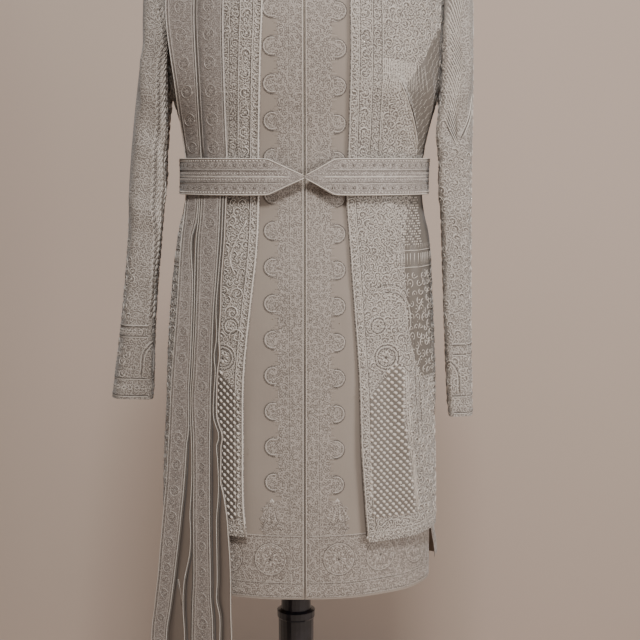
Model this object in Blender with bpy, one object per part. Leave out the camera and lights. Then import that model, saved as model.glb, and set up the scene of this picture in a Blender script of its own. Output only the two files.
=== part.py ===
"""A sherwani on a limbless dress form: a closed inner coat, an open outer coat,
a pointed belt and a pleated stole held by the belt.

Metres, +Z up, the front towards -Y, the wearer's right towards -X.
The origin is the middle of the stand's underside, on the floor.

Every layer is an offset of one body shape, which is a table of horizontal sections.
A point of a layer is given by its angle round the body (0 at centre front, 90 degrees at
the wearer's left side), its height, and its distance out from the body shape.
"""

import math

import bmesh
import bpy
from mathutils import Vector

# Heights
STOLE_HEM = 0.305
INNER_HEM = 0.473
OUTER_HEM = 0.554
FORM_FOOT = 0.800
WAIST = 1.060
UNDERARM = 1.287
SHOULDER_TIP = 1.462
OUTER_NECK = 1.500
INNER_NECK = 1.512
COLLAR_TOP = 1.554
FORM_NECK_TOP = 1.600

# Distances of each layer from the body shape, and what parts pieces
SEAM = 0.0003
FORM_OUT = 0.0
INNER_IN = 0.0030
INNER_OUT = 0.0050
OUTER_IN = 0.0072
OUTER_OUT = 0.0094
STOLE_IN = 0.0108
STOLE_WALL = 0.0010
STOLE_LAYER = 0.0018
BELT_IN = 0.0168
BELT_OUT = 0.0190
SLEEVE_WALL = 0.0020
FRONT_OPENING = 0.0008

# The body's horizontal sections. half_width, front and back are measured from the axis,
# which is shifted sideways by shift; roundness is the exponent of the superellipse.
BODY = (
    # height, half_width, front, back, shift, roundness
    (0.280, 0.194, 0.134, 0.122, -0.008, 2.3),
    (0.480, 0.194, 0.134, 0.121, -0.008, 2.3),
    (0.600, 0.193, 0.133, 0.119, -0.008, 2.3),
    (0.750, 0.187, 0.126, 0.114, -0.007, 2.3),
    (0.880, 0.178, 0.119, 0.108, -0.006, 2.3),
    (0.970, 0.171, 0.112, 0.103, -0.003, 2.3),
    (1.030, 0.161, 0.108, 0.099, -0.002, 2.3),
    (1.090, 0.161, 0.108, 0.099, -0.001, 2.3),
    (1.130, 0.168, 0.111, 0.102, 0.000, 2.3),
    (1.190, 0.184, 0.118, 0.107, 0.000, 2.3),
    (1.280, 0.188, 0.123, 0.111, 0.000, 2.3),
    (1.350, 0.185, 0.118, 0.112, 0.000, 2.3),
    (1.410, 0.182, 0.106, 0.108, 0.000, 2.2),
    (1.450, 0.173, 0.090, 0.097, 0.000, 2.2),
    (1.465, 0.154, 0.083, 0.090, 0.000, 2.2),
    (1.480, 0.120, 0.074, 0.080, 0.000, 2.1),
    (1.495, 0.089, 0.066, 0.070, 0.000, 2.1),
    (1.508, 0.070, 0.060, 0.063, 0.000, 2.0),
    (1.520, 0.063, 0.057, 0.060, 0.000, 2.0),
    (1.620, 0.058, 0.054, 0.056, 0.000, 2.0),
)

# The open coat's two front edges, as distances from the centre line.
OUTER_EDGE = (
    # height, left, right
    (0.560, 0.088, 0.081),
    (0.615, 0.083, 0.085),
    (0.685, 0.078, 0.085),
    (0.782, 0.075, 0.084),
    (0.865, 0.069, 0.076),
    (0.961, 0.062, 0.065),
    (1.033, 0.057, 0.062),
    (1.085, 0.059, 0.062),
    (1.228, 0.062, 0.058),
    (1.293, 0.061, 0.055),
    (1.500, 0.060, 0.055),
)

# How deep the belt is, from its pointed ends towards its full depth.
BELT_SHAPE = (
    # from_centre, half_depth
    (0.0000, 0.0020),
    (0.0110, 0.0095),
    (0.0200, 0.0145),
    (0.0330, 0.0205),
    (0.0500, 0.0245),
    (0.0700, 0.0250),
)

# The folds' places on the stole, as distances to the wearer's right of the centre line.
STOLE_BELOW = (
    # height, band_a_outer, band_a_inner, tuck_c, band_b, tuck_d, tuck_e
    (0.305, 0.222, 0.200, 0.164, 0.1290, 0.1170, 0.1040),
    (0.411, 0.218, 0.196, 0.162, 0.1290, 0.1180, 0.1040),
    (0.500, 0.207, 0.183, 0.160, 0.1320, 0.1220, 0.1030),
    (0.580, 0.199, 0.173, 0.159, 0.1320, 0.1235, 0.1080),
    (0.636, 0.193, 0.167, 0.158, 0.1320, 0.1190, 0.1150),
    (0.697, 0.189, 0.163, 0.158, 0.1310, 0.1200, 0.1130),
    (0.755, 0.186, 0.160, 0.156, 0.1290, 0.1240, 0.1200),
    (0.863, 0.177, 0.154, 0.148, 0.1240, 0.1200, 0.1160),
    (0.918, 0.173, 0.153, 0.146, 0.1200, 0.1160, 0.1120),
    (0.973, 0.169, 0.153, 0.144, 0.1160, 0.1120, 0.1080),
    (1.028, 0.163, 0.142, 0.138, 0.1130, 0.1090, 0.1050),
    (1.060, 0.160, 0.142, 0.138, 0.1120, 0.1080, 0.1040),
)
STOLE_ABOVE = (
    # along, height, band_a_outer, band_a_inner, band_b
    (0.0, 1.060, 0.160, 0.138, 0.103),
    (1.0, 1.170, 0.173, 0.143, 0.106),
    (2.0, 1.290, 0.186, 0.146, 0.106),
    (3.0, 1.400, 0.170, 0.135, 0.095),
    (4.0, 1.480, 0.158, 0.125, 0.087),
)
STOLE_BACK_END = 0.790

# Each sleeve's horizontal sections, centred to the side and a little behind the axis.
SLEEVE_RIGHT = (
    # height, inner, outer, half_depth, centre_back
    (0.739, 0.228, 0.286, 0.053, -0.004),
    (0.821, 0.224, 0.274, 0.055, -0.002),
    (0.900, 0.218, 0.266, 0.058, 0.002),
    (0.980, 0.210, 0.260, 0.061, 0.006),
    (1.054, 0.202, 0.254, 0.064, 0.010),
    (1.130, 0.192, 0.246, 0.066, 0.012),
    (1.190, 0.1985, 0.240, 0.068, 0.012),
    (1.245, 0.2015, 0.236, 0.069, 0.012),
)
SLEEVE_LEFT = (
    # height, inner, outer, half_depth, centre_back
    (0.718, 0.2080, 0.2440, 0.058, 0.002),
    (0.800, 0.2030, 0.2420, 0.059, 0.004),
    (0.890, 0.1990, 0.2410, 0.061, 0.006),
    (0.980, 0.1970, 0.2405, 0.063, 0.009),
    (1.060, 0.1960, 0.2400, 0.065, 0.011),
    (1.120, 0.1910, 0.2410, 0.067, 0.012),
    (1.190, 0.1985, 0.2420, 0.068, 0.012),
    (1.245, 0.2015, 0.2420, 0.069, 0.012),
)
ARMHOLE_FRONT = 0.046
ARMHOLE_BACK = 0.056
ARMHOLE_STEPS = 8
SLEEVE_HEAD_STEPS = 4

# The inner coat's side slits
SLIT_TOP = 0.780
SLIT_FRONT = math.radians(13)
SLIT_BACK = math.radians(6)

# The coats hang a little to the wearer's left of the stand's axis.
CENTRE_FRONT = 0.015

# The stand, turned about the origin
POLE_PROFILE = (
    # height, radius
    (0.026, 0.0480),
    (0.040, 0.0460),
    (0.052, 0.0300),
    (0.075, 0.0250),
    (0.110, 0.0290),
    (0.220, 0.0270),
    (0.330, 0.0260),
    (0.401, 0.0266),
    (0.4035, 0.0284),
    (0.4130, 0.0284),
    (0.4160, 0.0224),
    (0.440, 0.0218),
    (0.560, 0.0218),
    (0.700, 0.0210),
    (0.772, 0.0230),
    (0.7997, 0.0300),
)
BASE_PROFILE = (
    # height, radius
    (0.0000, 0.196),
    (0.0040, 0.200),
    (0.0150, 0.200),
    (0.0200, 0.194),
    (0.0230, 0.150),
    (0.0257, 0.060),
)
CAP_PROFILE = (
    # height, radius
    (1.6003, 0.0540),
    (1.6060, 0.0580),
    (1.6150, 0.0580),
    (1.6210, 0.0500),
    (1.6250, 0.0200),
    (1.6350, 0.0160),
    (1.6430, 0.0230),
    (1.6530, 0.0260),
    (1.6630, 0.0220),
    (1.6700, 0.0090),
)


def blend(low, high, value):
    """0 below low, 1 above high and a smooth rise between them."""
    t = min(1.0, max(0.0, (value - low) / (high - low)))
    return t * t * (3.0 - 2.0 * t)


def look_up(table, key, column):
    """A column's value at key in a table sorted by its first column, smooth between rows."""
    if key <= table[0][0]:
        return table[0][column]
    if key >= table[-1][0]:
        return table[-1][column]
    i = max(k for k in range(len(table) - 1) if table[k][0] <= key)

    def slope(k):
        before = table[max(k - 1, 0)]
        after = table[min(k + 1, len(table) - 1)]
        return (after[column] - before[column]) / (after[0] - before[0])

    low = table[i]
    high = table[i + 1]
    span = high[0] - low[0]
    t = (key - low[0]) / span
    a = low[column]
    b = high[column]
    return (
        a * (2 * t**3 - 3 * t**2 + 1)
        + b * (3 * t**2 - 2 * t**3)
        + slope(i) * span * (t**3 - 2 * t**2 + t)
        + slope(i + 1) * span * (t**3 - t**2)
    )


def section(height, out):
    """Half width, front, back, shift and roundness at a height, out from the body shape.

    On the shoulders a layer also lies higher, because its offset is mostly upwards there.
    """
    z = height - 0.6 * out * blend(1.40, 1.46, height)
    half_width, front, back, shift, roundness = (look_up(BODY, z, k) for k in range(1, 6))
    return half_width + out, front + out, back + out, shift, roundness


def folds(angle, height):
    """The skirts' soft folds: how far they move a layer in or out."""
    depth = 0.0045 * (1.0 - blend(0.50, 0.98, height))
    sides = math.sin(angle) ** 2 + 0.6 * max(0.0, -math.cos(angle))
    waves = math.sin(7 * angle + 0.6) + 0.5 * math.sin(12 * angle - 3.0 * height)
    return depth * sides * waves


def on_body(angle, height, out):
    """The point of a layer at an angle round the body."""
    half_width, front, back, shift, roundness = section(height, out + folds(angle, height))
    s = math.sin(angle)
    c = math.cos(angle)
    x = half_width * math.copysign(abs(s) ** (2 / roundness), s)
    y = (front if c > 0 else back) * math.copysign(abs(c) ** (2 / roundness), c)
    return Vector((x + shift, -y, height))


def angle_at_x(x, height, out):
    """The angle from centre front at which a layer's front is x from the centre line."""
    half_width, _, _, shift, roundness = section(height, out)
    ratio = min(1.0, abs(x - shift) / half_width)
    return math.copysign(math.asin(ratio ** (roundness / 2)), x - shift)


def angle_at_y(y, height, out):
    """The angle, on the wearer's left, at which a layer has the given y."""
    _, front, back, _, roundness = section(height, out)
    if y < 0:
        return math.acos(min(1.0, -y / front) ** (roundness / 2))
    return math.pi - math.acos(min(1.0, y / back) ** (roundness / 2))


def armhole_reach(height):
    """How far the armhole is open at a height, as a share of its widest."""
    t = (height - UNDERARM) / (SHOULDER_TIP - UNDERARM)
    if t <= 0.0 or t >= 1.0:
        return 0.0
    return math.sqrt(1.0 - (2.0 * t - 1.0) ** 2)


def side_angles(height, out):
    """The angles at which the front ends and the back starts, on the wearer's left."""
    reach = armhole_reach(height)
    gap = SEAM / 2 / (section(height, out)[0])
    if reach == 0.0:
        return math.pi / 2 - gap, math.pi / 2 + gap
    front = angle_at_y(-ARMHOLE_FRONT * reach, height, out)
    back = angle_at_y(ARMHOLE_BACK * reach, height, out)
    return front - gap, back + gap


def row_heights(hem, waist_rows, top):
    """The heights of a coat's rows: even down the skirt, closer at the armhole and neck."""
    rows = [hem + (WAIST - hem) * k / waist_rows for k in range(waist_rows)]
    rows += [WAIST, 1.100, 1.150, 1.200, 1.245]
    for k in range(ARMHOLE_STEPS + 1):
        turn = math.pi * k / ARMHOLE_STEPS
        rows.append(UNDERARM + (SHOULDER_TIP - UNDERARM) * (1 - math.cos(turn)) / 2)
    rows += [z for z in (1.476, 1.488) if z < top - 0.004]
    rows.append(top)
    return rows


def make_material(name, colour, roughness, metallic=0.0):
    material = bpy.data.materials.new(name)
    material.use_nodes = True
    shader = material.node_tree.nodes["Principled BSDF"]
    shader.inputs["Base Color"].default_value = (*colour, 1.0)
    shader.inputs["Roughness"].default_value = roughness
    shader.inputs["Metallic"].default_value = metallic
    return material


def add_object(name, bm, material, beside=0.0):
    """An object from a bmesh, smooth shaded, with its faces turned outwards."""
    bmesh.ops.recalc_face_normals(bm, faces=bm.faces)
    if bm.calc_volume(signed=True) < 0:
        bmesh.ops.reverse_faces(bm, faces=bm.faces)
    mesh = bpy.data.meshes.new(name)
    bm.to_mesh(mesh)
    bm.free()
    mesh.shade_smooth()
    mesh.set_sharp_from_angle(angle=math.radians(45))
    mesh.materials.append(material)
    made = bpy.data.objects.new(name, mesh)
    made.location.x = beside
    bpy.context.collection.objects.link(made)
    return made


def thick_sheet(name, outer, inner, material, closed=False):
    """A wall between two grids of points; closed joins each row's ends into a tube."""
    bm = bmesh.new()
    grids = [[[bm.verts.new(p) for p in row] for row in grid] for grid in (outer, inner)]
    rows = len(outer)
    columns = len(outer[0])
    spans = columns if closed else columns - 1
    for grid in grids:
        for r in range(rows - 1):
            for c in range(spans):
                n = (c + 1) % columns
                bm.faces.new((grid[r][c], grid[r][n], grid[r + 1][n], grid[r + 1][c]))
    for r in (0, rows - 1):
        for c in range(spans):
            n = (c + 1) % columns
            bm.faces.new((grids[0][r][c], grids[0][r][n], grids[1][r][n], grids[1][r][c]))
    if not closed:
        for c in (0, columns - 1):
            for r in range(rows - 1):
                a, b = grids[0][r][c], grids[0][r + 1][c]
                bm.faces.new((a, b, grids[1][r + 1][c], grids[1][r][c]))
    return add_object(name, bm, material, CENTRE_FRONT)


def turned(name, profile, segments, material, beside=0.0):
    """A solid of revolution about a vertical axis, from its foot to its top."""
    bm = bmesh.new()
    rings = []
    for height, radius in profile:
        ring = []
        for k in range(segments):
            turn = 2 * math.pi * k / segments
            ring.append(bm.verts.new((radius * math.cos(turn), radius * math.sin(turn), height)))
        rings.append(ring)
    for low, high in zip(rings, rings[1:]):
        for k in range(segments):
            n = (k + 1) % segments
            bm.faces.new((low[k], low[n], high[n], high[k]))
    bm.faces.new(rings[0])
    bm.faces.new(rings[-1])
    return add_object(name, bm, material, beside)


def coat_panel(name, heights, place, columns, layer, hem, material):
    """A coat's panel.

    place gives the angle at a height and a share of the width, layer the inner and outer
    distance at a height, and hem how much higher the hem is at a share of the width.
    """
    inner_rows = []
    outer_rows = []
    for height in heights:
        inner_row = []
        outer_row = []
        for c in range(columns + 1):
            share = c / columns
            lift = hem(share) * (1.0 - blend(heights[0], WAIST, height))
            z = height + lift
            angle = place(z, share)
            inner, outer = layer(z)
            inner_row.append(on_body(angle, z, inner))
            outer_row.append(on_body(angle, z, outer))
        inner_rows.append(inner_row)
        outer_rows.append(outer_row)
    return thick_sheet(name, outer_rows, inner_rows, material)


def inner_layer(height):
    """The inner coat hangs a little inside the outer one towards its hem."""
    drawn_in = 0.006 * (1.0 - blend(0.50, 0.90, height))
    return INNER_IN - drawn_in, INNER_OUT - drawn_in


def inner_back_layer(height):
    """The inner coat's back, which springs out a little below the outer coat's hem."""
    sprung = 0.007 * (1.0 - blend(0.500, 0.552, height))
    return INNER_IN + sprung, INNER_OUT + sprung


def outer_layer(_height):
    return OUTER_IN, OUTER_OUT


def build_inner_coat(cloth):
    heights = row_heights(INNER_HEM, 8, INNER_NECK)

    def slit(z):
        """How far the side slit is open, from its top to the hem."""
        return 1.0 - blend(INNER_HEM + 0.02, SLIT_TOP, z)

    def front_place(side):
        def place(z, share):
            start = angle_at_x(side * FRONT_OPENING / 2, z, INNER_IN)
            end = side * side_angles(z, INNER_OUT)[0]
            return start + (end - start) * share - side * SLIT_FRONT * slit(z) * share**6

        return place

    def back_place(z, share):
        start = side_angles(z, INNER_OUT)[1]
        across = 2 * share - 1
        open_side = SLIT_BACK * slit(z) * across**6
        angle = math.pi + (math.pi - start) * across
        return angle - math.copysign(open_side, across)

    def front_hem(share):
        return 0.010 * share**2

    def back_hem(share):
        return 0.021 * (2 * share - 1) ** 2

    coat_panel("inner_front_left", heights, front_place(1), 8, inner_layer, front_hem, cloth)
    coat_panel("inner_front_right", heights, front_place(-1), 8, inner_layer, front_hem, cloth)
    coat_panel("inner_back", heights, back_place, 16, inner_back_layer, back_hem, cloth)


def build_collar(cloth):
    foot = INNER_NECK + SEAM
    heights = [foot, (foot + COLLAR_TOP) / 2, COLLAR_TOP]

    def place(z, share):
        start = angle_at_x(FRONT_OPENING / 2, z, INNER_IN)
        return start + (2 * math.pi - 2 * start) * share

    def layer(_height):
        return INNER_IN, INNER_OUT

    coat_panel("inner_collar", heights, place, 28, layer, lambda share: 0.0, cloth)


def build_outer_coat(cloth):
    heights = row_heights(OUTER_HEM, 8, OUTER_NECK)

    def front_place(side):
        def place(z, share):
            edge = look_up(OUTER_EDGE, z, 1 if side > 0 else 2)
            start = angle_at_x(side * edge, z, OUTER_OUT)
            end = side * side_angles(z, OUTER_OUT)[0]
            return start + (end - start) * share

        return place

    def back_place(z, share):
        start = side_angles(z, OUTER_OUT)[1]
        return start + (2 * math.pi - 2 * start) * share

    def left_hem(share):
        return 0.010 * share**2

    def right_hem(share):
        return 0.010 + 0.014 * share**2

    def back_hem(share):
        return 0.010 + 0.014 * share

    coat_panel("outer_front_left", heights, front_place(1), 7, outer_layer, left_hem, cloth)
    coat_panel("outer_front_right", heights, front_place(-1), 7, outer_layer, right_hem, cloth)
    coat_panel("outer_back", heights, back_place, 16, outer_layer, back_hem, cloth)
    return [z for z in heights if UNDERARM - 1e-6 <= z <= SHOULDER_TIP + 1e-6]


def armhole_loop(side, heights):
    """The points round the armhole, from the shoulder down the front and up the back."""
    out = OUTER_OUT + 0.0006
    front = [on_body(side * side_angles(z, out)[0], z, out) for z in reversed(heights)]
    back = [on_body(side * side_angles(z, out)[1], z, out) for z in heights[1:-1]]
    return front + back


def sleeve_ring(side, row, count):
    """A horizontal section of a sleeve, from its outside round the front to its inside."""
    height, inner, outer, half_depth, centre_back = row
    middle = (inner + outer) / 2
    ring = []
    for k in range(count):
        turn = 2 * math.pi * k / count
        c = math.cos(turn)
        s = math.sin(turn)
        x = middle + (outer - inner) / 2 * math.copysign(abs(c) ** 0.85, c)
        y = centre_back - half_depth * math.copysign(abs(s) ** 0.95, s)
        ring.append(Vector((side * x, y, height)))
    return ring


def sleeve_head(start, end, side):
    """The rings between the armhole and the first horizontal section."""
    rings = []
    for k in range(1, SLEEVE_HEAD_STEPS):
        t = k / SLEEVE_HEAD_STEPS
        ring = []
        for a, b in zip(start, end):
            x = max(side * a.x, side * b.x) + 0.004
            bend = Vector((side * x, (a.y + b.y) / 2, b.z + 0.88 * (a.z - b.z)))
            ring.append(a * (1 - t) ** 2 + bend * 2 * t * (1 - t) + b * t**2)
        rings.append(ring)
    return rings


def inset_rings(rings, wall):
    """The tube's inside: each point moved in by the wall, along the surface's normal."""
    inside = []
    for r, ring in enumerate(rings):
        above = rings[max(r - 1, 0)]
        below = rings[min(r + 1, len(rings) - 1)]
        centre = sum(ring, Vector()) / len(ring)
        row = []
        for k, point in enumerate(ring):
            across = ring[(k + 1) % len(ring)] - ring[k - 1]
            along = below[k] - above[k]
            normal = across.cross(along).normalized()
            if normal.dot(point - centre) < 0:
                normal = -normal
            row.append(point - normal * wall)
        inside.append(row)
    return inside


def build_sleeve(name, side, table, heights, cloth):
    loop = armhole_loop(side, heights)
    sections = [sleeve_ring(side, row, len(loop)) for row in reversed(table)]
    rings = [loop] + sleeve_head(loop, sections[0], side) + sections
    inside = inset_rings(rings, SLEEVE_WALL)
    centre = sum(loop, Vector()) / len(loop)
    inside[0] = [p + (centre - p).normalized() * SLEEVE_WALL for p in loop]
    return thick_sheet(name, rings, inside, cloth, closed=True)


def build_belt(cloth):
    """One strip round the waist; each end narrows to a point at centre front."""
    turns = []
    for from_centre, _ in BELT_SHAPE:
        x = from_centre + FRONT_OPENING / 2
        turns.append(angle_at_x(x, WAIST, BELT_OUT))
    start = turns[-1]
    steps = 54
    turns += [start + (2 * math.pi - 2 * start) * k / steps for k in range(1, steps)]
    turns += [2 * math.pi - t for t in reversed(turns[: len(BELT_SHAPE)])]
    grids = []
    for out in (BELT_OUT, BELT_IN):
        rows = []
        for share in (-1.0, 0.0, 1.0):
            row = []
            for turn in turns:
                x = abs(on_body(turn, WAIST, BELT_OUT).x) - FRONT_OPENING / 2
                depth = BELT_SHAPE[-1][1]
                if math.cos(turn) > 0:
                    depth = look_up(BELT_SHAPE, x, 1)
                row.append(on_body(turn, WAIST + share * depth, out))
            rows.append(row)
        grids.append(rows)
    return thick_sheet("belt", grids[0], grids[1], cloth)


def front_depth(x, height, out):
    """How far forward a layer's front is at x, on the wearer's right."""
    half_width, front, _, shift, roundness = section(height, out)
    ratio = abs(x - shift) / half_width
    if ratio >= 1.0:
        return 0.0
    return front * (1.0 - ratio**roundness) ** (1 / roundness)


def stole_front_point(x, height):
    """The stole's innermost line in front: on the outer coat, or hanging free of its side."""
    lies = front_depth(-x, height, STOLE_IN)
    turn_off = 0.105
    free = front_depth(-turn_off, height, STOLE_IN) - 0.42 * max(0.0, x - turn_off)
    pulled = blend(0.03, 0.17, abs(height - WAIST)) * (1.0 - blend(1.30, 1.41, height))
    depth = lies + (max(lies, free) - lies) * pulled
    return Vector((-x, -depth, height))


def stole_shoulder_point(x, turn):
    """Where a ray from inside the shoulder leaves the coat; turn is 0 straight up."""
    direction = Vector((0.0, math.sin(turn), math.cos(turn)))
    origin = Vector((-x, 0.0, 1.395))
    near = 0.0
    far = 0.25
    for _ in range(40):
        middle = (near + far) / 2
        p = origin + direction * middle
        half_width, front, back, _, roundness = section(p.z, STOLE_IN + 0.0015)
        depth = front if p.y < 0 else back
        size = (x / half_width) ** roundness + (abs(p.y) / depth) ** roundness
        if size > 1.0:
            far = middle
        else:
            near = middle
    return origin + direction * near


def stole_back_point(x, height):
    """The fall down the back: straight from the shoulder blade, or on the skirt."""
    half_width, _, back, shift, roundness = section(height, STOLE_IN)
    ratio = min(1.0, abs(-x - shift) / half_width)
    lies = back * (1.0 - ratio**roundness) ** (1 / roundness)
    straight = 0.1190 - 0.18 * max(0.0, x - 0.080)
    hangs = 1.0 - blend(1.22, 1.41, height)
    return Vector((-x, lies + (max(lies, straight) - lies) * hangs, height))


def pleat_path(edges, wide_faces):
    """A section across the pleats, as (place, layer) pairs; layers run from 0 to 2.

    Each face lies on the next: it ends in a fold, runs back a little beneath itself and
    comes forward again as the start of the next face, which rises to the top layer.
    """
    path = [(edges[0], 2.0)]
    for k in range(1, len(edges)):
        width = edges[k - 1] - edges[k]
        face_start = edges[k - 1]
        if k in wide_faces:
            path.append((face_start - width / 2, 2.0))
        path.append((edges[k], 2.0))
        path.append((edges[k], 1.0))
        tuck = max(0.0008, min(0.006, 0.6 * (width - 0.004)))
        path.append((edges[k] + tuck, 1.0))
        if k == len(edges) - 1:
            break
        path.append((edges[k] + tuck, 0.0))
        following = edges[k] - edges[k + 1]
        path.append((edges[k] - 0.0014, 0.0))
        path.append((edges[k] - min(0.009, 0.0014 + 0.28 * following), 2.0))
    return path


def fold_wall(name, rows, material):
    """The pleated wall.

    Each row holds its path across, a rule for points of its line, and the direction of
    the stole's length there.
    """
    outer = []
    inner = []
    for path, point_at, along in rows:
        centre_line = []
        for x, layer in path:
            across = point_at(x - 0.002) - point_at(x + 0.002)
            normal = across.cross(along).normalized()
            lift = STOLE_WALL / 2 + layer * STOLE_LAYER
            centre_line.append(point_at(x) + normal * lift)
        outer_row = []
        inner_row = []
        for k, point in enumerate(centre_line):
            before = centre_line[max(k - 1, 0)]
            after = centre_line[min(k + 1, len(centre_line) - 1)]
            sides = []
            for a, b in ((before, point), (point, after)):
                step = b - a
                if step.length > 1e-9:
                    sides.append(step.cross(along).normalized())
            middle = sum(sides, Vector()).normalized()
            reach = STOLE_WALL / 2 / max(0.5, middle.dot(sides[0]))
            outer_row.append(point + middle * reach)
            inner_row.append(point - middle * reach)
        outer.append(outer_row)
        inner.append(inner_row)
    return thick_sheet(name, outer, inner, material)


def build_stole(cloth):
    upwards = Vector((0.0, 0.0, 1.0))
    lower = []
    steps = [STOLE_HEM, 0.355, 0.411, 0.460, 0.520, 0.580, 0.636, 0.697, 0.755, 0.810, 0.863]
    steps += [0.895, 0.924, 0.952, 0.980, 1.007, 1.030, WAIST - SEAM / 2]
    for z in steps:
        edges = [look_up(STOLE_BELOW, z, column) for column in range(1, 7)]
        path = pleat_path(edges, (1, 3))
        lower.append((path, lambda x, z=z: stole_front_point(x, z), upwards))
    fold_wall("stole_lower", lower, cloth)

    upper = []
    foot = WAIST + SEAM / 2
    for along in (0.0, 0.25, 0.45, 0.65, 0.85, 1.1, 1.4, 1.7, 2.0, 2.3, 2.6, 2.85):
        z = max(foot, look_up(STOLE_ABOVE, along, 1))
        edges = [look_up(STOLE_ABOVE, along, column) for column in range(2, 5)]
        path = pleat_path(edges, (1, 2))
        upper.append((path, lambda x, z=z: stole_front_point(x, z), upwards))
    for degrees in (-80, -64, -48, -30, -10, 10, 30, 48, 64, 80):
        turn = math.radians(degrees)
        along = 3.0 + blend(-1.5, 0.0, turn)
        edges = [look_up(STOLE_ABOVE, along, column) for column in range(2, 5)]
        path = pleat_path(edges, (1, 2))
        along_row = Vector((0.0, math.cos(turn), -math.sin(turn)))
        upper.append((path, lambda x, t=turn: stole_shoulder_point(x, t), along_row))
    for z in (1.385, 1.355, 1.32, 1.28, 1.23, 1.15, 1.05, 0.96, 0.87, STOLE_BACK_END):
        edges = [look_up(STOLE_ABOVE, 4.0, column) for column in range(2, 5)]
        path = pleat_path(edges, (1, 2))
        upper.append((path, lambda x, z=z: stole_back_point(x, z), -upwards))
    fold_wall("stole_upper", upper, cloth)


def build_form(linen):
    """The limbless torso, one smooth closed body from hip to neck."""
    heights = [FORM_FOOT, 0.815, 0.86, 0.92, 0.98, 1.04, 1.10, 1.16, 1.22, 1.28, 1.34, 1.40]
    heights += [1.44, 1.456, 1.470, 1.484, 1.497, 1.510, 1.530, FORM_NECK_TOP]
    segments = 32
    bm = bmesh.new()
    rings = []
    for z in heights:
        drawn_in = -0.012 * (1.0 - blend(FORM_FOOT - 0.01, FORM_FOOT + 0.04, z))
        ring = []
        for k in range(segments):
            half_width, front, back, shift, roundness = section(z, FORM_OUT + drawn_in)
            turn = 2 * math.pi * k / segments
            s = math.sin(turn)
            c = math.cos(turn)
            x = half_width * math.copysign(abs(s) ** (2 / roundness), s)
            y = (front if c > 0 else back) * math.copysign(abs(c) ** (2 / roundness), c)
            ring.append(bm.verts.new((x + shift, -y, z)))
        rings.append(ring)
    for low, high in zip(rings, rings[1:]):
        for k in range(segments):
            n = (k + 1) % segments
            bm.faces.new((low[k], low[n], high[n], high[k]))
    bm.faces.new(rings[0])
    bm.faces.new(rings[-1])
    return add_object("form_torso", bm, linen, CENTRE_FRONT)


def build_model():
    for old in list(bpy.data.objects):
        bpy.data.objects.remove(old, do_unlink=True)
    inner_cloth = make_material("satin", (0.36, 0.31, 0.27), 0.5)
    outer_cloth = make_material("embroidered silk", (0.30, 0.26, 0.22), 0.7)
    stole_cloth = make_material("silk", (0.32, 0.27, 0.23), 0.6)
    linen = make_material("linen", (0.62, 0.57, 0.50), 0.9)
    black_paint = make_material("black paint", (0.012, 0.012, 0.013), 0.35)

    build_form(linen)
    turned("form_neck_cap", CAP_PROFILE, 28, black_paint, CENTRE_FRONT)
    turned("stand_pole", POLE_PROFILE, 24, black_paint)
    turned("stand_base", BASE_PROFILE, 40, black_paint)
    build_inner_coat(inner_cloth)
    build_collar(inner_cloth)
    armhole_heights = build_outer_coat(outer_cloth)
    build_sleeve("sleeve_left", 1, SLEEVE_LEFT, armhole_heights, outer_cloth)
    build_sleeve("sleeve_right", -1, SLEEVE_RIGHT, armhole_heights, outer_cloth)
    build_belt(outer_cloth)
    build_stole(stole_cloth)


build_model()
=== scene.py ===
"""The finish of a sherwani on a limbless dress form.

A satin inner coat with embroidered borders, an open outer coat and sleeves covered with silk
embroidery, a pointed belt, a pleated stole and a black turned stand.

Metres, +Z up, the front towards -Y, the wearer's right towards -X.
Cloth is drawn on two measures: across, which runs along the cloth from the centre front line
and is positive on the wearer's left, and height above the floor.
"""

from math import atan2, cos, hypot, pi, radians, sin, sqrt

import bpy
import numpy as np
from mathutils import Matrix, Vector


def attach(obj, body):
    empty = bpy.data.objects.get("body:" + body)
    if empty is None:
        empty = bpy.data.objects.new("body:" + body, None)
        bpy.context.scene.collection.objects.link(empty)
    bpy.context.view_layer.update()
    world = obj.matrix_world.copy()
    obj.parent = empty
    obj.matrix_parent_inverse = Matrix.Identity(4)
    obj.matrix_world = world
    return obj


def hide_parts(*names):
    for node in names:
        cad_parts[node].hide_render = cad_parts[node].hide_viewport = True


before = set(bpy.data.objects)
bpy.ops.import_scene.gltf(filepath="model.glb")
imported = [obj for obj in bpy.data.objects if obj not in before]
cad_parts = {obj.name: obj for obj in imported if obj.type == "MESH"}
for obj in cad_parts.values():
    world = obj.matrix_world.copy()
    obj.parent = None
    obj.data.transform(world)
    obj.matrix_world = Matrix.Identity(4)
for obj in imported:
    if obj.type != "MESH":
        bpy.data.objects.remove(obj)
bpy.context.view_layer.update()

MM = 0.001

# Heights
STOLE_HEM = 0.305
INNER_HEM = 0.473
OUTER_HEM = 0.554
FORM_FOOT = 0.800
WAIST = 1.060
UNDERARM = 1.287
SHOULDER_TIP = 1.462
OUTER_NECK = 1.500
INNER_NECK = 1.512
COLLAR_TOP = 1.554
FORM_NECK_TOP = 1.600

# Distances of each layer's outside from the body shape, and the cloths' thicknesses
SEAM = 0.0003
FORM_OUT = 0.0
INNER_OUT = 0.0050
OUTER_OUT = 0.0094
COAT_WALL = 0.0020
STOLE_IN = 0.0108
STOLE_WALL = 0.0010
STOLE_LAYER = 0.0018
BELT_OUT = 0.0190
BELT_WALL = 0.0022
BELT_CROWN = 0.0004
SLEEVE_WALL = 0.0020
FRONT_OPENING = 0.0008

# The coats hang a little to the wearer's left of the stand's axis.
CENTRE_FRONT = 0.015
HANG = np.array([CENTRE_FRONT, 0.0, 0.0])
UPWARDS = np.array([0.0, 0.0, 1.0])

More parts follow.
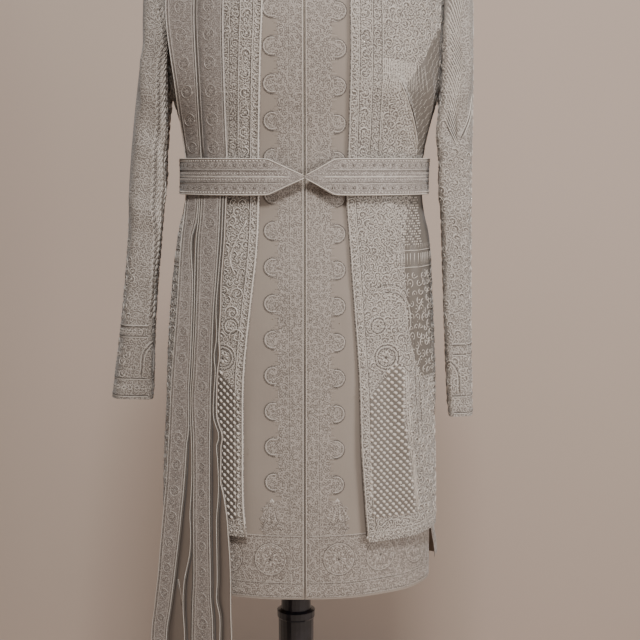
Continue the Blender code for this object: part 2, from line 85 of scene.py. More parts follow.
# The body's horizontal sections. half_width, front and back are measured from the axis,
# which is shifted sideways by shift; roundness is the exponent of the superellipse.
BODY = (
    # height, half_width, front, back, shift, roundness
    (0.280, 0.194, 0.134, 0.122, -0.008, 2.3),
    (0.480, 0.194, 0.134, 0.121, -0.008, 2.3),
    (0.600, 0.193, 0.133, 0.119, -0.008, 2.3),
    (0.750, 0.187, 0.126, 0.114, -0.007, 2.3),
    (0.880, 0.178, 0.119, 0.108, -0.006, 2.3),
    (0.970, 0.171, 0.112, 0.103, -0.003, 2.3),
    (1.030, 0.161, 0.108, 0.099, -0.002, 2.3),
    (1.090, 0.161, 0.108, 0.099, -0.001, 2.3),
    (1.130, 0.168, 0.111, 0.102, 0.000, 2.3),
    (1.190, 0.184, 0.118, 0.107, 0.000, 2.3),
    (1.280, 0.188, 0.123, 0.111, 0.000, 2.3),
    (1.350, 0.185, 0.118, 0.112, 0.000, 2.3),
    (1.410, 0.182, 0.106, 0.108, 0.000, 2.2),
    (1.450, 0.173, 0.090, 0.097, 0.000, 2.2),
    (1.465, 0.154, 0.083, 0.090, 0.000, 2.2),
    (1.480, 0.120, 0.074, 0.080, 0.000, 2.1),
    (1.495, 0.089, 0.066, 0.070, 0.000, 2.1),
    (1.508, 0.070, 0.060, 0.063, 0.000, 2.0),
    (1.520, 0.063, 0.057, 0.060, 0.000, 2.0),
    (1.620, 0.058, 0.054, 0.056, 0.000, 2.0),
)

# The open coat's two front edges, as distances from the centre line
OUTER_EDGE = (
    # height, left, right
    (0.560, 0.088, 0.081),
    (0.615, 0.083, 0.085),
    (0.685, 0.078, 0.085),
    (0.782, 0.075, 0.084),
    (0.865, 0.069, 0.076),
    (0.961, 0.062, 0.065),
    (1.033, 0.057, 0.062),
    (1.085, 0.059, 0.062),
    (1.228, 0.062, 0.058),
    (1.293, 0.061, 0.055),
    (1.500, 0.060, 0.055),
)

# How deep the belt is, from its pointed ends towards its full depth
BELT_SHAPE = (
    # from_centre, half_depth
    (0.0000, 0.0020),
    (0.0200, 0.0120),
    (0.0400, 0.0222),
    (0.0440, 0.0240),
    (0.0500, 0.0246),
    (0.0700, 0.0250),
)

# The folds' places on the stole, as distances to the wearer's right of the centre line
STOLE_BELOW = (
    # height, band_a_outer, band_a_inner, fold_c, tuck_c, band_b, tuck_d, tuck_e
    (0.305, 0.2220, 0.2000, 0.1720, 0.1600, 0.1276, 0.1170, 0.1030),
    (0.413, 0.2180, 0.1960, 0.1693, 0.1580, 0.1276, 0.1176, 0.1012),
    (0.448, 0.2135, 0.1905, 0.1708, 0.1570, 0.1280, 0.1173, 0.1019),
    (0.472, 0.2105, 0.1870, 0.1705, 0.1560, 0.1300, 0.1218, 0.1022),
    (0.497, 0.2073, 0.1834, 0.1680, 0.1545, 0.1300, 0.1205, 0.1019),
    (0.533, 0.2038, 0.1788, 0.1602, 0.1540, 0.1302, 0.1205, 0.1027),
    (0.565, 0.2005, 0.1748, 0.1583, 0.1540, 0.1305, 0.1207, 0.1046),
    (0.587, 0.1983, 0.1723, 0.1592, 0.1540, 0.1306, 0.1207, 0.1059),
    (0.622, 0.1945, 0.1683, 0.1570, 0.1533, 0.1304, 0.1179, 0.1105),
    (0.640, 0.1927, 0.1667, 0.1560, 0.1530, 0.1303, 0.1175, 0.1147),
    (0.671, 0.1907, 0.1643, 0.1556, 0.1528, 0.1300, 0.1186, 0.1142),
    (0.691, 0.1894, 0.1630, 0.1560, 0.1530, 0.1297, 0.1200, 0.1138),
    (0.705, 0.1885, 0.1605, 0.1565, 0.1533, 0.1294, 0.1164, 0.1117),
    (0.728, 0.1873, 0.1597, 0.1571, 0.1543, 0.1286, 0.1236, 0.1190),
    (0.755, 0.1860, 0.1602, 0.1574, 0.1548, 0.1284, 0.1238, 0.1198),
    (0.795, 0.1832, 0.1580, 0.1548, 0.1518, 0.1266, 0.1210, 0.1180),
    (0.815, 0.1814, 0.1566, 0.1538, 0.1510, 0.1262, 0.1226, 0.1150),
    (0.840, 0.1792, 0.1556, 0.1524, 0.1494, 0.1252, 0.1190, 0.1160),
    (0.880, 0.1758, 0.1540, 0.1508, 0.1476, 0.1232, 0.1196, 0.1134),
    (0.918, 0.1730, 0.1530, 0.1500, 0.1460, 0.1200, 0.1166, 0.1124),
    (0.973, 0.1690, 0.1545, 0.1475, 0.1440, 0.1160, 0.1120, 0.1080),
    (1.000, 0.1660, 0.1470, 0.1440, 0.1410, 0.1145, 0.1105, 0.1068),
    (1.060, 0.1600, 0.1422, 0.1396, 0.1368, 0.1120, 0.1080, 0.1040),
)
STOLE_ABOVE = (
    # along, height, band_a_outer, band_a_inner, band_b
    (0.0, 1.060, 0.160, 0.138, 0.103),
    (1.0, 1.170, 0.173, 0.143, 0.106),
    (2.0, 1.290, 0.186, 0.146, 0.106),
    (3.0, 1.400, 0.170, 0.135, 0.095),
    (4.0, 1.480, 0.158, 0.125, 0.087),
)
STOLE_BACK_END = 0.790

# Where the stole leaves the shoulder behind, and the middle of its way over it
SHOULDER_BLADE = 1.385
SHOULDER_CORE = 1.395

# How far beside a place the cloth's slope is taken, and the edges that stay sharp
NEARBY = 0.002
RIM_ANGLE = radians(50)

# Each sleeve's horizontal sections, centred to the side and a little behind the axis
SLEEVE_RIGHT = (
    # height, inner, front_corner, outer, half_depth, centre_back
    (0.743, 0.2260, 0.2170, 0.2815, 0.053, -0.004),
    (0.821, 0.2240, 0.2150, 0.2705, 0.055, -0.002),
    (0.900, 0.2195, 0.2110, 0.2615, 0.058, 0.002),
    (0.980, 0.2125, 0.2035, 0.2545, 0.061, 0.006),
    (1.054, 0.2070, 0.1958, 0.2520, 0.064, 0.010),
    (1.130, 0.2010, 0.1932, 0.2450, 0.066, 0.012),
    (1.190, 0.1975, 0.1912, 0.2375, 0.068, 0.012),
    (1.245, 0.1990, 0.1885, 0.2290, 0.069, 0.012),
)
SLEEVE_LEFT = (
    # height, inner, front_corner, outer, half_depth, centre_back
    (0.718, 0.2120, 0.2050, 0.2435, 0.058, 0.002),
    (0.800, 0.2080, 0.2005, 0.2410, 0.059, 0.004),
    (0.890, 0.2045, 0.1950, 0.2395, 0.061, 0.006),
    (0.980, 0.2010, 0.1930, 0.2385, 0.063, 0.009),
    (1.060, 0.1980, 0.1872, 0.2380, 0.065, 0.011),
    (1.120, 0.1965, 0.1835, 0.2385, 0.067, 0.012),
    (1.190, 0.1965, 0.1885, 0.2385, 0.068, 0.012),
    (1.245, 0.1990, 0.1900, 0.2375, 0.069, 0.012),
)
ARM_RADIUS = 0.05
ARMHOLE_FRONT = 0.046
ARMHOLE_BACK = 0.056
ARMHOLE_STEPS = 28
SLEEVE_HEAD_STEPS = 12

# The inner coat's side slits
SLIT_TOP = 0.780
SLIT_FRONT = radians(13)
SLIT_BACK = radians(6)

# Soft creases: a trough or ridge from one place to another, bowed sideways in the middle
OUTER_CREASES = (
    # across, height, to_across, to_height, bow, width, rise
    (0.131, 1.186, 0.167, 1.090, 0.004, 0.0055, 0.0060),
    (0.118, 1.190, 0.156, 1.090, 0.004, 0.0150, 0.0060),
    (0.142, 1.186, 0.178, 1.090, 0.004, 0.0070, -0.0021),
    (0.180, 1.215, 0.200, 1.110, 0.004, 0.0110, 0.0045),
    (0.118, 1.020, 0.130, 0.930, 0.006, 0.013, 0.0045),
    (0.129, 0.930, 0.150, 0.690, 0.004, 0.018, 0.0055),
    (0.150, 1.020, 0.160, 0.900, 0.004, 0.012, -0.0020),
    (0.085, 1.020, 0.095, 0.960, 0.002, 0.010, 0.0020),
    (0.165, 1.020, 0.185, 0.900, -0.006, 0.012, 0.0030),
    (0.130, 0.800, 0.150, 0.620, 0.008, 0.018, 0.0035),
    (0.095, 0.760, 0.100, 0.600, -0.005, 0.014, 0.0020),
    (0.215, 0.980, 0.225, 0.740, 0.008, 0.014, 0.0040),
    (-0.215, 0.990, -0.228, 0.720, -0.008, 0.015, 0.0040),
    (-0.185, 1.020, -0.200, 0.900, 0.005, 0.011, 0.0030),
    (0.300, 1.020, 0.310, 0.800, 0.010, 0.016, 0.0045),
    (0.360, 1.010, 0.350, 0.850, -0.006, 0.013, 0.0035),
    (0.430, 1.020, 0.440, 0.760, 0.008, 0.016, 0.0040),
    (-0.310, 1.020, -0.325, 0.820, 0.010, 0.015, 0.0040),
    (-0.400, 1.010, -0.390, 0.860, -0.006, 0.014, 0.0035),
    (-0.470, 1.010, -0.480, 0.780, 0.006, 0.016, 0.0040),
    (0.300, 1.110, 0.420, 1.160, 0.006, 0.012, 0.0035),
    (-0.290, 1.105, -0.430, 1.150, -0.006, 0.012, 0.0035),
    (0.340, 1.250, 0.310, 1.330, 0.006, 0.014, 0.0030),
    (-0.340, 1.240, -0.315, 1.325, -0.006, 0.014, 0.0030),
)
INNER_CREASES = (
    # across, height, to_across, to_height, bow, width, rise
    (0.060, 0.900, 0.067, 0.760, 0.003, 0.007, 0.0010),
    (-0.070, 0.800, -0.078, 0.620, -0.004, 0.009, 0.0012),
    (0.075, 0.650, 0.082, 0.560, 0.002, 0.008, 0.0010),
)
PLAIN = ()


def blend(low, high, value):
    """0 below low, 1 above high and a smooth rise between them."""
    t = np.clip((value - low) / (high - low), 0.0, 1.0)
    return t * t * (3.0 - 2.0 * t)


def look_up(table, keys, column):
    """A column's values at keys in a table sorted by its first column, smooth between rows."""
    rows = np.array(table)
    places = rows[:, 0]
    values = rows[:, column]
    last = len(places) - 1
    keys = np.clip(keys, places[0], places[-1])
    i = np.clip(np.searchsorted(places, keys, side="right") - 1, 0, last - 1)
    before = np.maximum(np.arange(last + 1) - 1, 0)
    after = np.minimum(np.arange(last + 1) + 1, last)
    slopes = (values[after] - values[before]) / (places[after] - places[before])
    span = places[i + 1] - places[i]
    t = (keys - places[i]) / span
    return (
        values[i] * (2 * t**3 - 3 * t**2 + 1)
        + values[i + 1] * (3 * t**2 - 2 * t**3)
        + slopes[i] * span * (t**3 - 2 * t**2 + t)
        + slopes[i + 1] * span * (t**3 - t**2)
    )


def section(height, out):
    """Half width, front, back, shift and roundness at a height, out from the body shape."""
    z = height - 0.6 * out * blend(1.40, 1.46, height)
    half_width, front, back, shift, roundness = (look_up(BODY, z, k) for k in range(1, 6))
    return half_width + out, front + out, back + out, shift, roundness


def folds(angle, height):
    """The skirts' soft folds: how far they move a layer in or out."""
    depth = 0.0045 * (1.0 - blend(0.50, 0.98, height))
    sides = np.sin(angle) ** 2 + 0.6 * np.maximum(0.0, -np.cos(angle))
    waves = np.sin(7 * angle + 0.6) + 0.5 * np.sin(12 * angle - 3.0 * height)
    return depth * sides * waves


def signed_power(value, exponent):
    """A value's power, with the value's own sign."""
    return np.copysign(np.abs(value) ** exponent, value)


def running(steps):
    """Running totals along the last axis, from 0."""
    totals = np.cumsum(steps, axis=-1)
    return np.concatenate([np.zeros(totals.shape[:-1] + (1,)), totals], axis=-1)


def ring_points(angle, height, out):
    """Points at angles round the body shape, out from it; 0 is centre front."""
    half_width, front, back, shift, roundness = section(height, out)
    c = np.cos(angle)
    x = half_width * signed_power(np.sin(angle), 2 / roundness)
    y = np.where(c > 0, front, back) * signed_power(c, 2 / roundness)
    return np.stack([x + shift + CENTRE_FRONT, -y, height + 0.0 * x], axis=-1)


def on_body(angle, height, out):
    """The points of a layer, with its soft folds, at angles round the body."""
    return ring_points(angle, height, out + folds(angle, height))


def angle_at_x(x, height, out):
    """The angle from centre front at which a layer's front is x from the centre line."""
    half_width, _, _, shift, roundness = section(height, out)
    ratio = np.minimum(1.0, np.abs(x - shift) / half_width)
    return np.copysign(np.arcsin(ratio ** (roundness / 2)), x - shift)


def angle_at_y(y, height, out):
    """The angle, on the wearer's left, at which a layer has the given y."""
    _, front, back, _, roundness = section(height, out)
    ahead = np.arccos(np.clip(-y / front, 0.0, 1.0) ** (roundness / 2))
    behind = pi - np.arccos(np.clip(y / back, 0.0, 1.0) ** (roundness / 2))
    return np.where(y < 0, ahead, behind)


def side_angles(height, out):
    """The angles at which the front ends and the back starts, on the wearer's left."""
    t = (height - UNDERARM) / (SHOULDER_TIP - UNDERARM)
    reach = np.sqrt(np.clip(1.0 - (2.0 * t - 1.0) ** 2, 0.0, 1.0))
    gap = SEAM / 2 / section(height, out)[0]
    in_armhole = reach > 0.0
    front = np.where(in_armhole, angle_at_y(-ARMHOLE_FRONT * reach, height, out), pi / 2)
    back = np.where(in_armhole, angle_at_y(ARMHOLE_BACK * reach, height, out), pi / 2)
    return front - gap, back + gap


class Around:
    """Turns distances along the cloth into angles round the body, and back."""

    def __init__(self):
        self.heights = np.arange(0.28, 1.62, 0.006)
        self.angles = np.linspace(-pi, pi, 1441)
        self.across = np.linspace(-0.66, 0.66, 661)
        tall, wide = np.meshgrid(self.heights, self.angles, indexing="ij")
        points = on_body(wide, tall, OUTER_OUT)
        lengths = running(np.linalg.norm(np.diff(points, axis=1), axis=2))
        centre = angle_at_x(0.0, self.heights, OUTER_OUT)
        self.lengths = np.empty_like(lengths)
        self.turns = np.empty((len(self.heights), len(self.across)))
        for k, row in enumerate(lengths):
            self.lengths[k] = row - np.interp(centre[k], self.angles, row)
            self.turns[k] = np.interp(self.across, self.lengths[k], self.angles)

    def read(self, grid, columns, height, key):
        """A grid's value between its rows, which are heights, and its columns."""
        r = (height - self.heights[0]) / (self.heights[1] - self.heights[0])
        c = (key - columns[0]) / (columns[1] - columns[0])
        r = np.clip(r, 0, len(self.heights) - 1.001)
        c = np.clip(c, 0, len(columns) - 1.001)
        i = r.astype(int)
        j = c.astype(int)
        a = grid[i, j] * (1 - c + j) + grid[i, j + 1] * (c - j)
        b = grid[i + 1, j] * (1 - c + j) + grid[i + 1, j + 1] * (c - j)
        return a * (1 - r + i) + b * (r - i)

    def angle(self, across, height):
        """The angle round the body at a distance along the cloth."""
        return self.read(self.turns, self.across, height, across)

    def across_at(self, angle, height):
        """The distance along the cloth at an angle round the body."""
        return self.read(self.lengths, self.angles, height, angle)


AROUND = Around()


def crease_rise(creases, across, height):
    """How far soft creases lift the cloth; a trough's rise is negative."""
    lifted = np.zeros(np.shape(across))
    for a, h, to_a, to_h, bow, width, rise in creases:
        run = hypot(to_a - a, to_h - h)
        along = (to_a - a) / run, (to_h - h) / run
        t = ((across - a) * along[0] + (height - h) * along[1]) / run
        held = np.clip(t, 0.0, 1.0)
        middle = np.sin(pi * held)
        da = across - (a + along[0] * held * run - along[1] * bow * middle)
        dh = height - (h + along[1] * held * run + along[0] * bow * middle)
        lifted += rise * (0.55 + 0.45 * middle) * np.exp(-(da**2 + dh**2) / width**2)
    return lifted


def inner_front_out(height):
    """The inner coat hangs a little inside the outer one towards its hem."""
    return INNER_OUT - 0.006 * (1.0 - blend(0.50, 0.90, height))


def inner_back_out(height):
    """The inner coat's back springs out a little below the outer coat's hem."""
    return INNER_OUT + 0.007 * (1.0 - blend(0.500, 0.552, height))


def even_layer(out):
    """A layer as far out from the body shape at every height."""
    return lambda height: out + 0.0 * height


outer_out = even_layer(OUTER_OUT)
belt_out = even_layer(BELT_OUT)


def layer_place(layer, creases):
    """A rule that puts a place on the cloth, lifted off it, into the room."""

    def place(across, height, lift):
        out = layer(height) + crease_rise(creases, across, height) + lift
        return on_body(AROUND.angle(across, height), height, out)

    return place


def new_object(name, points, faces, materials):
    """A smooth-shaded mesh object, its faces turned outwards, riding on the one body."""
    mesh = bpy.data.meshes.new(name)
    mesh.from_pydata(points, [], faces)
    for material in materials:
        mesh.materials.append(material)
    mesh.shade_smooth()
    made = bpy.data.objects.new(name, mesh)
    bpy.context.scene.collection.objects.link(made)
    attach(made, "root")
    return made


def volume_of(points, quads):
    """Six times the volume inside closed quads, negative where they face inwards."""
    a, b, c, d = (points[quads[:, k]] for k in range(4))
    first = np.einsum("ij,ij->i", a, np.cross(b, c)).sum()
    return first + np.einsum("ij,ij->i", a, np.cross(c, d)).sum()


def wall(name, outer, inner, measures, materials, closed=False):
    """A cloth wall between two grids of points, with its measures as its UV map.

    The first material is outside and on the rims, the last one inside. A closed wall is a
    tube, and its measures have one more column than its points.
    """
    rows, columns = outer.shape[:2]
    points = np.concatenate([outer.reshape(-1, 3), inner.reshape(-1, 3)])
    behind = rows * columns
    spans = columns if closed else columns - 1
    r, c = (index.ravel() for index in np.meshgrid(np.arange(rows - 1), np.arange(spans), indexing="ij"))
    n = (c + 1) % columns
    face = np.stack([r * columns + c, r * columns + n, (r + 1) * columns + n, (r + 1) * columns + c], 1)
    place = np.stack([r, c, r, c + 1, r + 1, c + 1, r + 1, c], 1).reshape(-1, 4, 2)
    quads = [face, (face + behind)[:, ::-1]]
    places = [place, place[:, ::-1]]
    rims = [(r == 0, (1, 0)), (r == rows - 2, (3, 2))]
    if not closed:
        rims += [(c == 0, (0, 3)), (c == spans - 1, (2, 1))]
    for chosen, (first, second) in rims:
        a = face[chosen, first]
        b = face[chosen, second]
        quads.append(np.stack([a, b, b + behind, a + behind], 1))
        places.append(place[chosen][:, [first, second, second, first]])
    lined = np.concatenate([np.full(len(q), k == 1) for k, q in enumerate(quads)])
    quads = np.concatenate(quads)
    places = np.concatenate(places)
    if volume_of(points, quads) < 0:
        quads = quads[:, ::-1]
        places = places[:, ::-1]
    made = new_object(name, points, quads.tolist(), materials)
    uv = made.data.uv_layers.new(name="cloth")
    spots = places.reshape(-1, 2)
    uv.data.foreach_set("uv", measures[spots[:, 0], spots[:, 1]].ravel())
    made.data.polygons.foreach_set("material_index", lined * (len(materials) - 1))
    made.data.set_sharp_from_angle(angle=RIM_ANGLE)
    return made


def even(low, high, step):
    """Evenly spaced numbers from low to high, about a step apart."""
    return np.linspace(low, high, max(2, round((high - low) / step) + 1))


def row_heights(hem, top):
    """A coat's rows: even down the skirt, closer at the armhole's foot and head."""
    turns = np.linspace(0.0, pi, ARMHOLE_STEPS + 1)
    armhole = UNDERARM + (SHOULDER_TIP - UNDERARM) * (1 - np.cos(turns)) / 2
    below = even(hem, UNDERARM, 0.007)[:-1]
    above = even(SHOULDER_TIP, top, 0.006)[1:]
    return np.concatenate([below, armhole, above])


def coat_panel(name, heights, place, columns, layer, hem, creases, materials):
    """A coat's panel.

    place gives the angle at a height and a share of the width, layer the outside's distance
    at a height, and hem how much higher the hem is at a share of the width.
    """
    height, share = np.meshgrid(heights, np.linspace(0.0, 1.0, columns + 1), indexing="ij")
    z = height + hem(share) * (1.0 - blend(heights[0], WAIST, height))
    angle = place(z, share)
    across = AROUND.across_at(angle, z)
    behind = angle > pi
    across = np.where(behind, AROUND.across_at(angle - 2 * pi, z), across)
    out = layer(z) + crease_rise(creases, across, z)
    measures = np.stack([across, z], axis=-1)
    seam = np.where(np.abs(np.diff(across, axis=1)) > 0.5)
    for r, c in zip(*seam):
        measures[r, c + 1:, 0] += measures[r, c, 0] - measures[r, c + 1, 0]
    outer = on_body(angle, z, out)
    inner = on_body(angle, z, out - COAT_WALL)
    return wall(name, outer, inner, measures, materials)


def inner_place(side):
    """The angles of an inner front, from its slit edge to its side seam."""

    def place(z, share):
        start = angle_at_x(side * FRONT_OPENING / 2, z, INNER_OUT - COAT_WALL)
        end = side * side_angles(z, INNER_OUT)[0]
        open_slit = 1.0 - blend(INNER_HEM + 0.02, SLIT_TOP, z)
        return start + (end - start) * share - side * SLIT_FRONT * open_slit * share**6

    return place


def inner_back_place(z, share):
    """The angles of the inner back, from side seam to side seam."""
    start = side_angles(z, INNER_OUT)[1]
    across = 2 * share - 1
    open_slit = 1.0 - blend(INNER_HEM + 0.02, SLIT_TOP, z)
    spread = SLIT_BACK * open_slit * across**6
    return pi + (pi - start) * across - np.copysign(spread, across)


def outer_place(side):
    """The angles of an outer front, from its open edge to its side seam."""

    def place(z, share):
        edge = look_up(OUTER_EDGE, z, 1 if side > 0 else 2)
        start = angle_at_x(side * edge, z, OUTER_OUT)
        end = side * side_angles(z, OUTER_OUT)[0]
        return start + (end - start) * share

    return place


def outer_back_place(z, share):
    """The angles of the outer back, from side seam to side seam."""
    start = side_angles(z, OUTER_OUT)[1]
    return start + (2 * pi - 2 * start) * share


def sleeve_grid(side, table):
    """A sleeve's outside, ring by ring from the armhole to the cuff.

    Each ring runs from the outside of the arm round the front to the inside and back.
    """
    turns = np.linspace(0.0, pi, ARMHOLE_STEPS + 1)
    heights = UNDERARM + (SHOULDER_TIP - UNDERARM) * (1 + np.cos(turns)) / 2
    out = OUTER_OUT + 0.0006
    front = on_body(side * side_angles(heights, out)[0], heights, out)
    back = on_body(side * side_angles(heights, out)[1], heights, out)
    loop = np.concatenate([front, back[-2:0:-1]])
    turn = np.linspace(0.0, 2 * pi, len(loop), endpoint=False)
    z = even(table[0][0], table[-1][0], 0.0065)[::-1, None]
    inner, front_corner, outer, half_depth, centre_back = (look_up(table, z, k) for k in range(1, 6))
    inward = np.maximum(0.0, -np.cos(turn))
    flat = np.where(inward > 0.0, 0.34, 0.44)
    x = (inner + outer) / 2 + (outer - inner) / 2 * signed_power(np.cos(turn), flat)
    y = centre_back - half_depth * signed_power(np.sin(turn), flat + 0.14)
    corner = 1.35 * inward**0.4 * np.maximum(0.0, np.sin(turn)) ** 0.5
    x = x + (front_corner - inner) * corner
    y = y + 0.012 * np.cos(turn) * np.maximum(0.0, np.sin(turn))
    straight = np.stack([side * x + CENTRE_FRONT, y, z + 0.0 * x], axis=-1)
    t = np.linspace(0.0, 1.0, SLEEVE_HEAD_STEPS + 1)[:-1, None, None]
    end = straight[0]
    reach = np.maximum(side * (loop[:, 0] - CENTRE_FRONT), side * (end[:, 0] - CENTRE_FRONT)) + 0.001
    bend = np.stack(
        [
            side * reach + CENTRE_FRONT,
            (loop[:, 1] + end[:, 1]) / 2,
            end[:, 2] + 0.88 * (loop[:, 2] - end[:, 2]),
        ],
        axis=-1,
    )
    head = loop * (1 - t) ** 2 + bend * 2 * t * (1 - t) + end * t**2
    return np.concatenate([head, straight])


def collar_place(z, share):
    """The angles of the stand collar, all the way round from the front opening."""
    start = angle_at_x(FRONT_OPENING / 2, z, INNER_OUT - COAT_WALL)
    return start + (2 * pi - 2 * start) * share


def tube_normals(grid):
    """Unit normals of a tube's grid of points, outwards."""
    wide = np.roll(grid, -1, axis=1) - np.roll(grid, 1, axis=1)
    normals = np.cross(wide, np.gradient(grid, axis=0))
    normals = normals / np.maximum(np.linalg.norm(normals, axis=2, keepdims=True), 1e-12)
    centre = grid.mean(axis=1, keepdims=True)
    return normals * np.sign(((grid - centre) * normals).sum(axis=2).mean())


def tube_measures(grid):
    """A tube's measures: across from its outer line, and down from its top as a height."""
    ring = np.concatenate([grid, grid[:, :1]], axis=1)
    across = running(np.linalg.norm(np.diff(ring, axis=1), axis=2))
    down = np.linalg.norm(np.diff(grid, axis=0), axis=2).mean(axis=1)
    height = grid[-1, :, 2].mean() + running(down[::-1])[::-1]
    return np.stack([across, height[:, None] + 0.0 * across], axis=-1)


def grid_place(grid, measures, side):
    """A rule that puts a place on a tube's cloth, lifted off it, into the room.

    Across is 0 on the tube's outer line and grows to the right as seen from outside.
    """
    normals = tube_normals(grid)
    ring = np.concatenate([grid, grid[:, :1]], axis=1)
    normals = np.concatenate([normals, normals[:, :1]], axis=1)
    rows = measures[:, 0, 1][::-1]

    def place(across, height, lift):
        r = np.interp(height, rows, np.arange(len(rows))[::-1])
        i = np.clip(r.astype(int), 0, len(grid) - 2)
        t = (r - i)[..., None]
        point = 0.0
        normal = 0.0
        for row, share in ((i, 1 - t), (i + 1, t)):
            lengths = measures[row, :, 0]
            wanted = np.mod(-side * across, lengths[..., -1])
            j = np.clip((lengths <= wanted[..., None]).sum(axis=-1) - 1, 0, ring.shape[1] - 2)
            low = measures[row, j, 0]
            s = ((wanted - low) / (measures[row, j + 1, 0] - low))[..., None]
            point = point + share * (ring[row, j] * (1 - s) + ring[row, j + 1] * s)
            normal = normal + share * (normals[row, j] * (1 - s) + normals[row, j + 1] * s)
        return point + normal * np.asarray(lift)[..., None]

    return place


SLEEVE_CREASES = (
    # turn, height, to_turn, to_height, width, rise; turns in degrees
    (70, 1.22, 130, 1.12, 0.014, 0.0030),
    (60, 1.17, 140, 1.06, 0.012, -0.0022),
    (95, 1.10, 150, 1.03, 0.012, 0.0028),
    (60, 1.03, 120, 0.99, 0.013, 0.0020),
    (100, 0.98, 150, 0.90, 0.014, -0.0018),
    (80, 0.88, 110, 0.80, 0.012, 0.0016),
    (230, 1.18, 290, 1.08, 0.015, 0.0030),
    (220, 1.06, 280, 0.98, 0.014, 0.0026),
    (240, 0.96, 300, 0.88, 0.015, -0.0022),
)


def sleeve_creases(turn, height):
    """How far a sleeve's soft creases move its cloth at a turn round the arm."""
    moved = np.zeros(np.broadcast(turn, height).shape)
    around = turn * ARM_RADIUS
    for a, h, to_a, to_h, width, rise in SLEEVE_CREASES:
        start = np.array([radians(a) * ARM_RADIUS, h])
        run = np.array([radians(to_a) * ARM_RADIUS, to_h]) - start
        t = ((around - start[0]) * run[0] + (height - start[1]) * run[1]) / (run @ run)
        held = np.clip(t, 0.0, 1.0)
        away = (around - start[0] - run[0] * held) ** 2 + (height - start[1] - run[1] * held) ** 2
        moved = moved + rise * np.exp(-away / width**2)
    return moved


def lining_depth(x, height, behind):
    """How far from the axis the stole lies on the coat at x on the wearer's right."""
    half_width, front, back, shift, roundness = section(height, STOLE_IN)
    ratio = np.minimum(1.0, np.abs(-x - shift) / half_width)
    return (back if behind else front) * (1.0 - ratio**roundness) ** (1 / roundness)


def stole_line(x, height, behind, free, share):
    """Points that lie on the coat, or by a share hang free of it."""
    lies = lining_depth(x, height, behind)
    depth = lies + (np.maximum(lies, free) - lies) * share
    return np.stack([-x, depth if behind else -depth, height + 0.0 * x], axis=-1)


def stole_front(x, height):
    """The stole's innermost line in front: on the outer coat, or hanging free of its side."""
    turn_off = 0.105
    free = lining_depth(turn_off, height, False) - 0.42 * np.maximum(0.0, x - turn_off)
    pulled = blend(0.03, 0.17, np.abs(height - WAIST)) * (1.0 - blend(1.30, 1.41, height))
    return stole_line(x, height, False, free, pulled)


def stole_shoulder(x, turn):
    """Where a ray from inside the shoulder leaves the coat; turn is 0 straight up."""
    near = np.zeros(np.shape(x))
    far = near + 0.25
    for _ in range(34):
        middle = (near + far) / 2
        y = sin(turn) * middle
        z = SHOULDER_CORE + cos(turn) * middle
        half_width, front, back, _, roundness = section(z, STOLE_IN + 0.0015)
        depth = np.where(y < 0, front, back)
        outside = (np.abs(x) / half_width) ** roundness + (np.abs(y) / depth) ** roundness > 1.0
        far = np.where(outside, middle, far)
        near = np.where(outside, near, middle)
    return np.stack([-x, sin(turn) * near, SHOULDER_CORE + cos(turn) * near], axis=-1)


def stole_back(x, height):
    """The fall down the back: straight from the shoulder blade, or on the skirt."""
    straight = 0.1190 - 0.18 * np.maximum(0.0, x - 0.080)
    return stole_line(x, height, True, straight, 1.0 - blend(1.22, 1.41, height))


def pleat_path(edges, steps):
    """A section across the pleats, as (place, layer) pairs; layers run from 0 to 2.

    Each face lies on the next: it ends in a fold, runs back a little beneath itself and
    comes forward again as the start of the next face, which rises to the top layer.
    """
    path = [(edges[0], 2.0)]
    for k in range(1, len(edges)):
        start = path[-1][0]
        for step in range(1, steps):
            t = step / steps
            path.append((start + (edges[k] - start) * t, 2.0 + 0.28 * sin(pi * t)))
        path += [(edges[k] + 0.0005, 2.0), (edges[k], 1.75), (edges[k], 1.25)]
        width = edges[k - 1] - edges[k]
        tuck = max(0.0012, min(0.006, 0.6 * (width - 0.004)))
        path += [(edges[k] + 0.0005, 1.0), (edges[k] + tuck / 2, 1.0), (edges[k] + tuck, 1.0)]
        if k == len(edges) - 1:
            break
        following = edges[k] - edges[k + 1]
        path += [(edges[k] + tuck, 0.0), (edges[k] - 0.0014, 0.0)]
        rise = min(0.009, 0.0014 + 0.28 * following)
        path += [(edges[k] - rise * 0.5, 0.7), (edges[k] - rise * 0.85, 1.6), (edges[k] - rise, 2.0)]
    return path


def fold_rows(rows):
    """The two grids of a pleated wall and its measures.

    Each row holds its path across, a rule for points of its line, and the direction of
    the stole's length there.
    """
    outer = []
    inner = []
    for path, point_at, along in rows:
        x, layer = np.array(path).T
        normal = np.cross(point_at(x - NEARBY) - point_at(x + NEARBY), along)
        normal /= np.linalg.norm(normal, axis=1, keepdims=True)
        line = point_at(x) + normal * (STOLE_WALL / 2 + layer * STOLE_LAYER)[:, None]
        sides = np.cross(np.diff(line, axis=0), along)
        sides /= np.maximum(np.linalg.norm(sides, axis=1, keepdims=True), 1e-12)
        before = np.concatenate([sides[:1], sides])
        middle = before + np.concatenate([sides, sides[-1:]])
        middle /= np.linalg.norm(middle, axis=1, keepdims=True)
        reach = STOLE_WALL / 2 / np.maximum(0.5, (middle * before).sum(axis=1, keepdims=True))
        outer.append(line + middle * reach)
        inner.append(line - middle * reach)
    outer = np.array(outer) + HANG
    inner = np.array(inner) + HANG
    across = running(np.linalg.norm(np.diff(outer, axis=1), axis=2).mean(axis=0))
    along = running(np.linalg.norm(np.diff(outer, axis=0), axis=2).mean(axis=1))
    return outer, inner, np.stack(np.meshgrid(across, along), axis=-1)


# Embroidery. A motif is drawn flat, in millimetres, and copied on to the cloth where it repeats.


